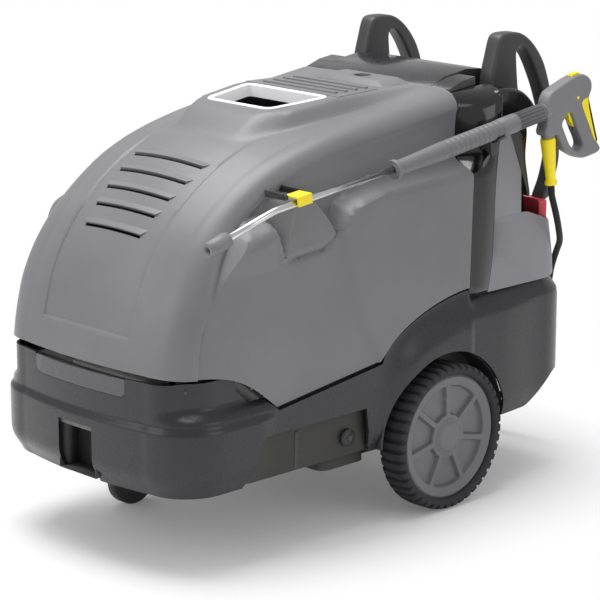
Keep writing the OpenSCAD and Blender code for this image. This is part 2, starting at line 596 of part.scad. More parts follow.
louvre_top = [-385, 840];          // middle of the top louvre in (y, z)
louvre_low = [-542, 711];
louvre_bulge = [-7, 6];            // how far the middle louvre stands off the line between them
louvre_w = [130, 107];             // half width of the top and the lowest louvre
exhaust_y = [-180, -30];           // front and rear edge of the exhaust opening
exhaust_hw = [98, 127];            // its half width at the front and the rear

exhaust_tilt = 4.5;                // slope of the exhaust frame
module at_exhaust() translate([0, exhaust_y[1], hood_top_z]) rotate([exhaust_tilt, 0, 0])
    translate([0, -exhaust_y[1], 0]) children();

module louvre_slot(w) {
    hull() for (s = [-1, 1]) translate([s * (w - 17), 0, 0]) cube([2, 10, 26], center = true);
    for (s = [-1, 1]) hull() {
        translate([s * (w - 17), 0, 0]) cube([2, 10, 26], center = true);
        translate([s * w, 22, 0]) cube([2, 4, 26], center = true);
    }
}
module exhaust_outline(grow) polygon([[-exhaust_hw[0] - grow, exhaust_y[0] - grow],
    [exhaust_hw[0] + grow, exhaust_y[0] - grow], [exhaust_hw[1] + grow, exhaust_y[1] + grow],
    [-exhaust_hw[1] - grow, exhaust_y[1] + grow]]);

module hood() color([0.44, 0.44, 0.45]) difference() {
    wall_sheet([for (i = [len(hood_sections) - 1:-1:0]) hood_row(i, 0)],
        [for (i = [len(hood_sections) - 1:-1:0]) hood_row(i, hood_wall)]);
    for (i = [0:louvre_count - 1]) let(f = i / (louvre_count - 1),
        p = mix(louvre_top, louvre_low, f) + louvre_bulge * 4 * f * (1 - f))
        translate([0, p[0], p[1]]) rotate([mix(29, 51, f), 0, 0])
            louvre_slot(mix(louvre_w[0], louvre_w[1], f));
    at_exhaust() translate([0, 0, -40]) linear_extrude(80) exhaust_outline(0);
}

module exhaust_frame() color([0.9, 0.9, 0.9]) at_exhaust() {
    translate([0, 0, -30]) linear_extrude(46) difference() {
        exhaust_outline(-seat);
        exhaust_outline(-4);
    }
    translate([0, 0, 14]) linear_extrude(3) difference() {
        exhaust_outline(9);
        exhaust_outline(-4);
    }
}

cover_hw = [152, 138];             // half width of the ribbed cover at its front and rear
cover_y = [-16, 122];
cover_h = 5;
module top_cover() color([0.5, 0.5, 0.51]) translate([0, 0, hood_top_z + seat]) {
    linear_extrude(cover_h) difference() {
        polygon([[-cover_hw[0], cover_y[0]], [cover_hw[0], cover_y[0]],
            [cover_hw[1], cover_y[1]], [-cover_hw[1], cover_y[1]]]);
    }
    for (i = [0:3]) let(y = cover_y[0] + 22 + 32 * i)
        translate([-118, y, 0]) cube([236, 10, cover_h + 4]);
    // housing of the latch
    translate([15, 190, 0]) difference() {
        hull() {
            translate([-112, -42, 0]) cube([224, 90, 4]);
            translate([-84, -26, 0]) cube([168, 66, 15]);
        }
        translate([0, 8, 5]) cylinder(r = 21, h = 30);
        translate([0, 8, -1]) cylinder(r = 6 + run_gap, h = 30);
    }
}
module hood_latch() color([0.12, 0.12, 0.13]) translate([15, 198, hood_top_z + seat]) {
    translate([0, 0, 5 + seat]) cylinder(r = 19.5, h = 6);
    translate([-15, -3.5, 10]) cube([30, 7, 5]);
    translate([0, 0, 0]) cylinder(r = 6, h = 6);
}

catch_y = -322;
catch_l = 40;
catch_axis = [326, 11];            // pivot of the lance catch: x, and z above the lance
catch_pin_r = 2.5;
module at_catch() translate([0, catch_y, lance_z(catch_y)]) rotate([6, 0, 0]) children();
module hood_brackets() color([0.25, 0.25, 0.26]) {
    for (s = [-1, 1]) mirror_x(s) {
        translate([hinge_x[1] + 0.5, hinge_at[0], hinge_at[1]]) rotate([0, 90, 0]) cylinder(r = 11.5, h = 12);
        translate([hinge_x[0] - 6, hinge_at[0], hinge_at[1]]) rotate([0, 90, 0]) cylinder(r = 5, h = 26);
    }
    at_catch() {
        for (y = [-catch_l / 2 - 5.3, catch_l / 2 + 0.3]) translate([262, y, catch_axis[1] - 7]) {
            cube([catch_axis[0] - 262, 5, 14]);
            translate([catch_axis[0] - 262, 0, 7]) rotate([-90, 0, 0]) cylinder(r = 7, h = 5);
        }
        translate([catch_axis[0], -catch_l / 2 - 4, catch_axis[1]]) rotate([-90, 0, 0])
            cylinder(r = catch_pin_r, h = catch_l + 8);
    }
}
module lance_catch() color([0.95, 0.87, 0.02]) at_catch() difference() {
    union() {
        translate([catch_axis[0], -catch_l / 2, catch_axis[1]]) rotate([-90, 0, 0])
            cylinder(r = 5, h = catch_l);
        translate([catch_axis[0], -catch_l / 2, catch_axis[1]]) cube([38, catch_l, 5]);
        translate([lance_x + tube_r + 1.5, -catch_l / 2, -6]) cube([5.5, catch_l, 22]);
    }
    translate([catch_axis[0], -catch_l / 2 - 1, catch_axis[1]]) rotate([-90, 0, 0])
        cylinder(r = catch_pin_r + run_gap, h = catch_l + 2);
}

module front_flap() color([0.4, 0.39, 0.42]) {
    front = [for (x = [-flap_x:30:flap_x]) [x, front_y(x)]];
    intersection() {
        translate([0, 0, flap_z[0] - 5]) linear_extrude(60)
            polygon(concat(front, [for (i = [len(front) - 1:-1:0]) front[i] + [0, 5]]));
        translate([0, flap_pivot[0] + 2, 0]) rotate([90, 0, 0]) linear_extrude(60)
            flap_outline(0, flap_z[1]);
    }
    for (s = [-1, 1]) {
        translate([s * (flap_x - 12) - 6, flap_pivot[0] - 7, flap_pivot[1] - 4]) cube([12, 8, 8]);
        translate([s * (flap_x - 3) - 13, flap_pivot[0], flap_pivot[1]]) rotate([0, 90, 0])
            cylinder(r = flap_pin_r, h = 26);
    }
}

// ---- Under the hood ----

boiler_at = [0, -95];
lid_h = 42;
stack_at = [0, (exhaust_y[0] + exhaust_y[1]) / 2];
stack_top = hood_top_z - 42;
boiler_h = stack_top - stack_l - lid_h - deck_z - 2 * seat;

module boiler() color([0.75, 0.75, 0.76]) translate([boiler_at[0], boiler_at[1], deck_z + seat])
    difference() {
        union() {
            cylinder(r = boiler_r, h = boiler_h);
            for (z = [40, boiler_h - 60]) translate([0, 0, z]) cylinder(r = boiler_r + 3, h = 20);
        }
        translate([0, 0, 12]) cylinder(r = boiler_r - 6, h = boiler_h);
    }
lid_z = deck_z + boiler_h + 2 * seat;
module boiler_lid() color([0.7, 0.7, 0.71]) translate([boiler_at[0], boiler_at[1], lid_z])
    rotate_extrude() polygon([[0, lid_h - 8], [boiler_r - 66, lid_h - 8], [boiler_r - 20, 16],
        [boiler_r - 12, 0], [boiler_r + 4, 0], [boiler_r + 4, 12], [boiler_r - 14, 24],
        [boiler_r - 60, lid_h], [0, lid_h]]);
module exhaust_stack() color([0.8, 0.8, 0.81]) translate([stack_at[0], stack_at[1], lid_z + lid_h + seat])
    difference() {
        union() {
            cylinder(r = stack_r + 3, h = stack_top - lid_z - lid_h);
            cylinder(r = stack_r + 14, h = 3);
        }
        translate([0, 0, -1]) cylinder(r = stack_r, h = 200);
    }
blower_at = [72, 6];
module burner_blower() color([0.15, 0.15, 0.16])
    translate([blower_at[0], blower_at[1], lid_z + lid_h + seat]) difference() {
        union() {
            cylinder(r = 56, h = 46);
            translate([0, -56, 0]) cube([80, 46, 46]);
            translate([0, 0, 46]) cylinder(r = 30, h = 12);
        }
        translate([0, 0, 20]) cylinder(r = 22, h = 60);
    }

motor_at = [-400, deck_z + seat + 16];
motor_x = [-30, 200];
module motor() color([0.3, 0.33, 0.36]) {
    translate([motor_x[0], motor_at[0], motor_at[1] + motor_r]) rotate([0, 90, 0]) rotate_extrude()
        polygon(concat([[0, 0], [motor_r - 8, 0]],
            [for (i = [0:10], q = [[-6, 12], [0, 12], [0, 18], [-6, 18]])
                [motor_r + q[0], q[1] + 15 * i]],
            [[motor_r - 8, 188], [motor_r - 8, motor_x[1] - motor_x[0]], [0, motor_x[1] - motor_x[0]]]));
    for (x = [10, 120]) translate([x, motor_at[0] - 52, deck_z + seat]) cube([34, 104, 24]);
    translate([40, motor_at[0] - 34, motor_at[1] + 2 * motor_r - 12]) cube([70, 68, 34]);
}
module pump() color([0.72, 0.6, 0.3]) {
    translate([-150, motor_at[0] - 48, motor_at[1] + motor_r - 44]) cube([150 + motor_x[0] - seat, 96, 88]);
    translate([-150, motor_at[0] - 40, deck_z + seat]) cube([70, 80, motor_at[1] + motor_r - 44 - deck_z]);
    for (i = [-1:1]) {
        translate([-120 + 30 * i, motor_at[0], motor_at[1] + motor_r + 43]) cylinder(r = 11, h = 16);
        translate([-120 + 30 * i, motor_at[0] - 47, motor_at[1] + motor_r]) rotate([90, 0, 0])
            cylinder(r = 11, h = 14);
    }
}

module rounded_box(size, r) translate([size[0] / 2, size[1] / 2, 0]) linear_extrude(size[2])
    let(x = size[0] / 2 - r, y = size[1] / 2 - r)
        polygon(concat(arc([x, y], r, 0, 90, 3), arc([-x, y], r, 90, 180, 3),
            arc([-x, -y], r, 180, 270, 3), arc([x, -y], r, 270, 360, 3)));

module float_tank() color([0.85, 0.86, 0.88]) {
    translate([-100, -592, deck_z + seat]) rounded_box([240, 88, 110], 14);
    translate([20, -548, deck_z + 100]) cylinder(r = 24, h = 22);
}
detergent_neck = [-167, -545];
module detergent_tank() color([0.88, 0.88, 0.84]) {
    translate([-226, -594, deck_z + seat]) rounded_box([118, 98, 104], 16);
    translate([detergent_neck[0], detergent_neck[1], deck_z + 95]) cylinder(r = 22, h = 20);
}
cap_h = 16;
module cap(r) {
    cylinder(r = r - 1.2, h = cap_h);
    for (i = [1:16]) rotate([0, 0, 22.5 * i]) translate([r - 2, -1.6, 0]) cube([2, 3.2, cap_h]);
}
module detergent_cap() color([0.15, 0.3, 0.65])
    translate([detergent_neck[0], detergent_neck[1], deck_z + 115 + seat]) cap(27);

tank_out = body_hw - 17;           // outer side of the fuel tank
tank_y = [-446, -56];
module fuel_tank() color([0.17, 0.165, 0.155]) {
    top = deck_z - deck_t - seat;
    translate([-118, tank_y[0], skirt_z + 5])
        rounded_box([tank_out + 118, tank_y[1] - tank_y[0], top - skirt_z - 5], 20);
    translate([-60, -196, skirt_z - 28]) rounded_box([tank_out + 40, tank_y[1] + 196, 40], 24);
    translate([-60, -196, skirt_z - 28]) rounded_box([308, 220, 60], 24);
    translate([tank_out - 4, -300, skirt_z + 10]) cube([7, 10, 84]);
    translate([tank_neck[0], tank_neck[1], top - 5]) cylinder(r = neck_r, h = 70);
}
module fuel_cap() color([0.75, 0.12, 0.1])
    translate([tank_neck[0], tank_neck[1], deck_z - deck_t + 65]) cap(28);
module tank_plug() color([0.12, 0.12, 0.12]) translate([tank_out + seat, -140, 225]) rotate([0, 90, 0]) {
    cylinder(r = 20, h = 8);
    cylinder(r = 9, h = 13, $fn = 6);
}
module electrical_box() color([0.6, 0.6, 0.62]) {
    translate([-165, 192, 640]) cube([150, 257 - 192 - seat, 225]);
    translate([-158, 188, 647]) cube([136, 5, 211]);
}

// ---- Wheels and castor ----

rim_r = tyre_r - tyre_depth;
rim_out = tyre_out - 10;
lug_count = 44;
lug_h = 7;

module at_wheel(side) mirror_x(side) translate([0, axle_y, tyre_r]) rotate([0, 90, 0]) children();

module axle() color([0.6, 0.6, 0.62]) translate([-rim_out + 14, axle_y, tyre_r]) rotate([0, 90, 0])
    cylinder(r = axle_r, h = 2 * rim_out - 28);

module tyre() {
    z0 = tyre_out - tyre_w;
    intersection() {
        translate([0, 0, z0]) rotate_extrude() polygon([[rim_r, 8], [rim_r + 6, 2], [tyre_r - 16, 0],
            [tyre_r - 6, 6], [tyre_r - 1, 18], [tyre_r, tyre_w / 2], [tyre_r - 1, tyre_w - 18],
            [tyre_r - 6, tyre_w - 6], [tyre_r - 16, tyre_w], [rim_r + 6, tyre_w - 2], [rim_r, tyre_w - 8]]);
        translate([0, 0, z0 - 1]) linear_extrude(tyre_w + 2) polygon([for (i = [0:lug_count - 1],
            q = [[-0.28, 1], [0.28, 1], [0.36, 0], [0.64, 0]])
                let(a = 360 * (i + q[0]) / lug_count, r = tyre_r + 1 - (1 - q[1]) * (lug_h + 1))
                    r * [cos(a), sin(a)]]);
    }
}
module rim() {
    z0 = tyre_out - tyre_w;
    difference() {
        translate([0, 0, 0]) rotate_extrude() polygon([[0, rim_out - 34], [30, rim_out - 34],
            [rim_r - 14, rim_out - 26], [rim_r - 14, z0 + 10], [rim_r - seat, z0 + 10],
            [rim_r - seat, rim_out - 4], [rim_r - 6, rim_out], [rim_r - 12, rim_out - 2],
            [118, rim_out - 7], [44, rim_out - 5], [36, rim_out - 2], [32, rim_out + 1], [0, rim_out + 2]]);
        for (i = [0:6]) rotate([0, 0, 360 * i / 7 + 12]) translate([0, 0, rim_out - 15]) linear_extrude(20)
            polygon(concat(arc([0, 0], 50, -13, 13, 4), arc([0, 0], 122, 17, -17, 6)));
        translate([0, 0, z0 - 80]) cylinder(r = axle_r + run_gap, h = rim_out - 10 - z0 + 80);
    }
    difference() {
        translate([0, 0, well_x + 1]) cylinder(r = 24, h = rim_out - 30 - well_x);
        translate([0, 0, 100]) cylinder(r = axle_r + run_gap, h = rim_out - 110);
    }
}
module tyre_left() color([0.12, 0.12, 0.12]) at_wheel(1) tyre();
module tyre_right() color([0.12, 0.12, 0.12]) at_wheel(-1) tyre();
module rim_left() color([0.38, 0.38, 0.38]) at_wheel(1) rim();
module rim_right() color([0.38, 0.38, 0.38]) at_wheel(-1) rim();

module at_castor() translate([castor_pos[0], castor_pos[1], castor_r]) children();
pin_r = 6;
module castor_fork() color([0.55, 0.55, 0.57]) at_castor() {
    top = castor_top - castor_r;
    translate([0, -castor_trail, top - 6]) cylinder(r = 36, h = 6);
    translate([0, -castor_trail, top - 1]) cylinder(r = 9, h = 56);
    for (s = [-1, 1]) hull() {
        translate([s * (castor_w / 2 + 5) - 2, 0, 0]) rotate([0, 90, 0]) cylinder(r = 13, h = 4, $fn = 32);
        translate([s * (castor_w / 2 + 5) - 2, -castor_trail - 24, top - 5]) cube([4, 50, 4]);
    }
    translate([-castor_w / 2 - 10, 0, 0]) rotate([0, 90, 0]) cylinder(r = pin_r, h = castor_w + 20);
}
module castor_wheel() color([0.1, 0.1, 0.1]) at_castor() rotate([0, 90, 0])
    translate([0, 0, -castor_w / 2]) rotate_extrude() polygon([[pin_r + run_gap, 0], [16, 0], [20, 4],
        [42, 4], [46, 1], [castor_r - 6, 1], [castor_r, 7], [castor_r, castor_w - 7],
        [castor_r - 6, castor_w - 1], [46, castor_w - 1], [42, castor_w - 4], [20, castor_w - 4],
        [16, castor_w], [pin_r + run_gap, castor_w]]);
brake_pivot = [6, 74];
module castor_brake() color([0.8, 0.15, 0.12]) at_castor() {
    translate([-castor_w / 2 - 2, brake_pivot[0] - 4, brake_pivot[1] - 2]) cube([castor_w + 4, 66, 4]);
    translate([-16, brake_pivot[0] + 48, brake_pivot[1] - 2]) cube([32, 22, 9]);
    translate([-castor_w / 2 - 3 + run_gap, brake_pivot[0], brake_pivot[1]]) rotate([0, 90, 0])
        cylinder(r = 4, h = castor_w + 6 - 2 * run_gap);
}

// ---- Connections on the rear wall ----

inlet_at = [-150, 380];            // water inlet and pressure outlet in (x, z)
outlet_at = [-40, 380];
outlet_l = 34;
wall_y = rear_y + seat;
module water_inlet() color([0.75, 0.7, 0.5])
    translate([inlet_at[0], wall_y, inlet_at[1]]) rotate([-90, 0, 0]) {
    cylinder(r = 21, h = 8, $fn = 6);
    cylinder(r = inlet_r, h = 8 + inlet_l);
}
module pressure_outlet() color([0.72, 0.72, 0.7]) translate([outlet_at[0], wall_y, outlet_at[1]])
    rotate([-90, 0, 0]) {
        cylinder(r = 20, h = 6);
        cylinder(r = 16, h = 22, $fn = 6);
        cylinder(r = 12.5, h = outlet_l);
    }
module cable_gland() color([0.1, 0.1, 0.1]) translate([90, wall_y, 380]) rotate([-90, 0, 0]) {
    cylinder(r = 16, h = 8, $fn = 6);
    cylinder(r = 12, h = 22);
    cylinder(r = 9, h = 30);
}

// ---- Lance and gun, stored along the left side ----

grip_start = [-40, 821.7];         // front of the lance grip in (y, z)
gun_start = [446, 889.2];          // front of the gun
lance_dir = unit(gun_start - grip_start);
grip_l = 374;
sleeve_l = norm(gun_start - grip_start) - grip_l - seat;

// Places children on the stored lance with +Z pointing along a direction in (y, z)
module at_lance(p, d) translate([lance_x, p[0], p[1]])
    rotate([atan2(d[1], d[0]) - 90, 0, 0]) children();

tube_dir = unit(lance_line[1] - lance_line[0]);
mid_dir = unit(grip_start - lance_line[1]);
bend_r = 150;                      // radius of the bend in the lance tube
function rise(d) = atan2(d[1], d[0]);
bend_run = bend_r * tan((rise(tube_dir) - rise(mid_dir)) / 2);
function on_lance(p) = [lance_x, p[0], p[1]];
lance_path = concat([lance_line[0] + 20 * tube_dir],
    [for (i = [0:6]) let(a = mix(rise(tube_dir), rise(mid_dir), i / 6))
        lance_line[1] - bend_run * tube_dir + bend_r * [tube_dir[1] - sin(a), cos(a) - tube_dir[0]]],
    [grip_start + 4 * mid_dir]);
module lance_tube() color([0.62, 0.62, 0.62])
    skin_rings([for (i = [0:len(lance_path) - 1])
        let(d = i == 0 ? tube_dir : i == len(lance_path) - 1 ? mid_dir
            : unit(lance_path[i + 1] - lance_path[i - 1]))
        tube_ring(on_lance(lance_path[i]), [0, d[0], d[1]], tube_r, 20)]);
module nozzle_sleeve() color([0.57, 0.57, 0.58]) at_lance(lance_line[0], tube_dir) rotate_extrude()
    polygon([[8, 0], [14, 0], [17, 3], [17, nozzle_l - 8], [15.5, nozzle_l - 6], [15.5, nozzle_l - 2],
        [13, nozzle_l], [tube_r + seat, nozzle_l], [tube_r + seat, 19], [3, 19], [3, 14], [8, 10]]);
module lance_grip() color([0.42, 0.42, 0.42]) at_lance(grip_start, lance_dir) rotate_extrude()
    polygon(concat([[tube_r + seat, -4], [grip_r - 1, -4], [grip_r, -2], [grip_r, 5], [grip_r - 5, 9],
        [grip_r - 4, 60], [grip_r - 2, 120]],
        [for (i = [0:floor((grip_l - 195) / 16)]) let(z = 150 + 16 * i) each
            [[grip_r - 1, z], [grip_r - 1, z + 10],
            [grip_r - 2.5, z + 11.5], [grip_r - 2.5, z + 14.5]]],
        [[grip_r, grip_l - 30], [grip_r, grip_l], [10, grip_l], [10, 32], [tube_r + seat, 32]]));
module regulator_sleeve() color([0.36, 0.36, 0.37]) at_lance(grip_start, lance_dir)
    translate([0, 0, grip_l + 0.05]) difference() {
        union() {
            cylinder(r = 18.5, h = sleeve_l);
            cylinder(r = grip_r, h = 22);
            for (i = [1:16]) rotate([0, 0, 22.5 * i]) translate([17, -1.6, 10])
                cube([4, 3.2, sleeve_l - 16]);
        }
        translate([0, 0, -1]) cylinder(r = 9 + run_gap, h = sleeve_l + 2);
    }

rest_y = 274;
rest_z = 821.7 + (rest_y - grip_start[0]) * lance_dir[1] / lance_dir[0];
module lance_rest() color([0.14, 0.14, 0.14]) at_lance([rest_y, rest_z], lance_dir) {
    // local +Y points down and local X points out from the machine
    linear_extrude(26) difference() {
        union() {
            circle(r = grip_r + 4.5);
            translate([column_out - 6 - lance_x, -2]) square([30, 62]);
        }
        circle(r = grip_r + seat);
        translate([-13, -60]) square([80, 74]);
        translate([0, -60]) rotate(-20) square([80, 90]);
        translate([column_out - lance_x, 40]) rotate(40) square(60);
    }
}

gun_w = 38;
trigger_pivot = [556, 912];
trigger_w = 14;
inlet_end = [470, 826];            // where the bend protector meets the gun
inlet_dir = unit([16, -110]);
module gun_body() color([0.44, 0.44, 0.45]) {
    difference() {
        translate([lance_x - gun_w / 2, 0, 0]) rotate([90, 0, 90]) linear_extrude(gun_w) difference() {
            polygon([[443.9, 908.1], [500, 943], [541, 962], [574, 967], [600, 955], [616, 940],
                [618, 912], [631, 850], [645, 797], [656, 784], [632, 772], [578, 763], [556, 767],
                [520, 795], [493, 829.4], [452, 823.4], [440, 842], [449.4, 868.5]]);
            polygon([[514, 851], [549, 797], [570, 786], [600, 790], [590, 842], [578, 890], [536, 882]]);
        }
        translate([lance_x - trigger_w / 2 - 0.6, 520, 850]) cube([trigger_w + 1.2, 78, 82]);
        translate([0, trigger_pivot[0], trigger_pivot[1]]) rotate([0, 90, 0])
            cylinder(r = 4 + run_gap, h = 600);
        at_gun_top() translate([-7 - run_gap, -run_gap, -8]) cube([14 + 2 * run_gap, 32, 30]);
        for (x = [lance_x - 60 - gun_w / 2 + 3, lance_x + gun_w / 2 - 3])
            translate([x, 455, 862]) rotate([0, 90, 0]) rotate([0, 0, -52]) cube([14, 60, 60]);
    }
    at_lance(gun_start, lance_dir) translate([0, 0, -sleeve_l - 20]) cylinder(r = 9, h = sleeve_l + 40);
    at_lance(gun_start, lance_dir) translate([0, 0, 0.05]) cylinder(r = 17, h = 12);
    at_lance(inlet_end, inlet_dir) translate([0, 0, -26]) cylinder(r = 13, h = 26);
}
module at_gun_top() translate([lance_x, 544, 962]) rotate([8, 0, 0]) children();
module safety_catch() color([0.95, 0.87, 0.02]) at_gun_top() {
    translate([-7, 0, -7.9]) cube([14, 26, 10]);
    for (i = [0:3]) translate([-7, 2 + 6 * i, 2]) cube([14, 4, 3]);
}
module trigger() color([0.95, 0.87, 0.02]) {
    translate([lance_x - trigger_w / 2, 0, 0]) rotate([90, 0, 90]) linear_extrude(trigger_w)
        polygon(concat(arc(trigger_pivot, 11, 20, 160, 6), [[532, 880], [538, 860], [552, 846], [566, 832],
            [572, 836], [566, 852], [560, 868], [564, 890]]));
    translate([lance_x - gun_w / 2 + 2, trigger_pivot[0], trigger_pivot[1]]) rotate([0, 90, 0])
        cylinder(r = 4, h = gun_w - 4);
}
protector_l = 112;
module bend_protector() color([0.95, 0.87, 0.02]) at_lance(inlet_end, inlet_dir) translate([0, 0, seat])
    rotate_extrude() polygon([[0, 0], [16.5, 0], [18, 6], [16, 40], [13, 78], [12, protector_l - 12],
        [15, protector_l - 5], [15, protector_l], [0, protector_l]]);

// ---- High-pressure hose: a drop from the gun, a coil on the floor, and the way back ----

hose_start = inlet_end + inlet_dir * (protector_l + 2 * seat);
outlet_end = wall_y + outlet_l + seat;
coil_at = [-430, 825];             // middle of the coil
coil_pitch = 16.2;                 // spacing of its turns and of its layers
coil_turns = 10.5;
coil_in = 79.5;                    // radius where the spiral reverses
coil_z = hose_r + 0.15;
drop_route = [[349, 490, 686], [345, 511, 640], [325, 546, 595], [285, 598, 552], [240, 640, 512],
    [205, 664, 460], [180, 680, 390], [150, 690, 300], [100, 694, 190], [20, 690, 90], [-90, 680, 30],
    [-200, 668, 12]];
return_route = [[-315, 982, 36], [-214, 950, 92], [-130, 885, 180], [-75, 805, 288], [-45, 733, 360]];

function coil_point(a) = let(r = coil_in + coil_pitch * abs(a - coil_turns * 180) / 360,
    z = coil_z + coil_pitch * ease(-90, 90, a - coil_turns * 180))
    [coil_at[0] - r * sin(a), coil_at[1] - r * cos(a), z];
coil_line = [for (i = [0:20 * coil_turns]) coil_point(18 * i)];
coil_a = coil_line[0] + [2 * hose_r, 0, 0];
coil_b = coil_line[len(coil_line) - 1] + [2 * hose_r, 0, 0];
module hose_tube(line, sides) skin_rings([for (i = [0:len(line) - 1])
    tube_ring(line[i], line[min(i + 1, len(line) - 1)] - line[max(i - 1, 0)], hose_r, sides)]);

drop_line = concat([[lance_x, hose_start[0], hose_start[1]]],
    curve(concat([[lance_x, hose_start[0] + 16 * inlet_dir[0], hose_start[1] + 16 * inlet_dir[1]]],
        drop_route, [coil_a + [16, 0, 0]]), 3), [coil_a + [seat, 0, 0]]);
return_line = concat([coil_b + [seat, 0, 0]], curve(concat([coil_b + [16, 0, 0]], return_route,
    [[outlet_at[0], outlet_end + 16, outlet_at[1]]]), 4), [[outlet_at[0], outlet_end, outlet_at[1]]]);
module hose_drop() color([0.08, 0.08, 0.08]) hose_tube(drop_line, 8);
module hose_coil() color([0.08, 0.08, 0.08]) hose_tube(concat([coil_a], coil_line, [coil_b]), 6);
module hose_return() color([0.08, 0.08, 0.08]) hose_tube(return_line, 8);

function run_length(l) = len(l) < 2 ? 0 : [for (i = [1:len(l) - 1]) norm(l[i] - l[i - 1])]
    * [for (i = [1:len(l) - 1]) 1];
echo(hose_length = run_length(drop_line) + run_length(coil_line) + 4 * hose_r + run_length(return_line));
echo(coil_gap = min([for (i = [0:len(coil_line) - 1], k = [15:25]) if (i + k < len(coil_line))
    norm(coil_line[i] - coil_line[i + k])]) - 2 * hose_r);

chassis();
deck();
rear_body();
side_panel_left();
side_panel_right();
column_left();
column_right();
console();
control_panel();
handle_left();
handle_right();
rear_marker_left();
rear_marker_right();
main_switch();
dosing_knob();
pressure_gauge();
indicator_lamps();
hood();
exhaust_frame();
top_cover();
hood_latch();
hood_brackets();
lance_catch();
front_flap();
boiler();
boiler_lid();
exhaust_stack();
burner_blower();
motor();
pump();
float_tank();
fuel_tank();
tank_plug();
fuel_cap();
detergent_tank();
detergent_cap();
electrical_box();
axle();
tyre_left();
rim_left();
tyre_right();
rim_right();
castor_fork();
castor_wheel();
castor_brake();
water_inlet();
pressure_outlet();
cable_gland();
lance_rest();
lance_tube();
nozzle_sleeve();
lance_grip();
regulator_sleeve();
gun_body();
trigger();
safety_catch();
bend_protector();
hose_drop();
hose_coil();
hose_return();
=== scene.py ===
"""Dress of a cart-mounted hot-water pressure washer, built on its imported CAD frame.

Every length inside the classes is in millimetres in the frame's own axes (+Z up, bumper
towards -Y, lance on the +X side); meshes are written to Blender in metres.
"""

import json
import logging
import math
from dataclasses import dataclass
from enum import Enum
from typing import Iterable, Optional, Sequence, Tuple, Union

import bmesh
import bpy
import numpy as np
from mathutils import Matrix, Vector

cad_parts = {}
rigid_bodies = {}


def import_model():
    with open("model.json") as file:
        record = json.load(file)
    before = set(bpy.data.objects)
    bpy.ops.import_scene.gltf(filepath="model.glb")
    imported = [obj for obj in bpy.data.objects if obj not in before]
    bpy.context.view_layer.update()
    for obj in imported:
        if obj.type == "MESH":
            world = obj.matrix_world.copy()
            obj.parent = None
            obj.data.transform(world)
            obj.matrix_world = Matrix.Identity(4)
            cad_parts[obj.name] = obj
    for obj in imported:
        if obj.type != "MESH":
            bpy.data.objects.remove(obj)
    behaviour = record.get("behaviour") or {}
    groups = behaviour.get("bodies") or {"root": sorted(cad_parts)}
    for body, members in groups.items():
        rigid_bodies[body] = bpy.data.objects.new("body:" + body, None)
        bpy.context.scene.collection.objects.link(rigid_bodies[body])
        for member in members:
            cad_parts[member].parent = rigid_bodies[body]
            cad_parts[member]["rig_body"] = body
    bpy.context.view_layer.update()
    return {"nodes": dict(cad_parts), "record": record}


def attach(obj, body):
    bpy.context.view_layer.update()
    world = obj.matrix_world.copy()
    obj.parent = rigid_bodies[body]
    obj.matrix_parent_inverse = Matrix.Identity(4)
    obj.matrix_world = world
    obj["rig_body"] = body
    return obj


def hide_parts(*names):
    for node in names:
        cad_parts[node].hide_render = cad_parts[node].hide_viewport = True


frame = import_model()
LOG = logging.getLogger("pressure_washer")
MM = 0.001
Array = np.ndarray
Colour = Tuple[float, float, float]
Number = Union[float, bpy.types.NodeSocket]


# ---------------------------------------------------------------- number helpers

def smooth(a: float, b: float, v: Array) -> Array:
    """Cubic step: 0 where v is at a or before it, 1 at b and after, t*t*(3-2t) between."""
    t = np.clip((np.asarray(v, float) - a) / (b - a), 0.0, 1.0)
    return t * t * (3.0 - 2.0 * t)


def blend(a: Array, b: Array, t: Array) -> Array:
    """Straight blend a + (b - a) * t."""
    return a + (b - a) * t


def spline(points: Sequence[Sequence[float]], at: Array) -> Array:
    """Catmull-Rom curve through points.

    Args:
        points: n points of any dimension.
        at: positions along the curve, 0 at the first point and n - 1 at the last.

    Returns:
        One point for each entry of at.
    """
    p = np.asarray(points, float)
    i = np.clip(np.floor(at).astype(int), 0, len(p) - 2)
    t = (np.asarray(at, float) - i)[:, None]
    a, b, c, d = p[np.maximum(i - 1, 0)], p[i], p[i + 1], p[np.minimum(i + 2, len(p) - 1)]
    return 0.5 * (2 * b + (c - a) * t + (2 * a - 5 * b + 4 * c - d) * t * t
                  + (3 * b - a - 3 * c + d) * t ** 3)


def run_along(points: Array) -> Array:
    """Length of a broken line from its first point to each of its points."""
    return np.concatenate([[0], np.cumsum(np.linalg.norm(np.diff(points, axis=0), axis=1))])


def even_spline(points: Sequence[Sequence[float]], count: int) -> Array:
    """Catmull-Rom curve resampled at count points an equal length apart."""
    dense = spline(points, np.linspace(0, len(points) - 1, 40 * len(points)))
    run = run_along(dense)
    want = np.linspace(0, run[-1], count)
    return np.stack([np.interp(want, run, dense[:, k]) for k in range(dense.shape[1])], -1)


def side_name(side: int) -> str:
    """left for the side at +X, right for the one at -X."""
    return "left" if side > 0 else "right"


def unit(v: Array) -> Array:
    """Vectors scaled to length one along the last axis."""
    return v / np.maximum(np.linalg.norm(v, axis=-1, keepdims=True), 1e-12)


# ---------------------------------------------------------------- mesh helpers

def grid_faces(rows: int, cols: int, around: bool = False, closed: bool = False) -> Array:
    """Quads of a grid of rows x cols points.

    Args:
        rows: number of rows.
        cols: number of columns.
        around: True joins the last column to the first.
        closed: True joins the last row to the first.

    Returns:
        (n, 4) vertex indices, turning from a row to the next column first.
    """
    r = np.arange(rows if closed else rows - 1)[:, None]
    c = np.arange(cols if around else cols - 1)[None, :]
    r2, c2 = (r + 1) % rows, (c + 1) % cols
    return np.stack([r * cols + c, r * cols + c2, r2 * cols + c2, r2 * cols + c], -1).reshape(-1, 4)


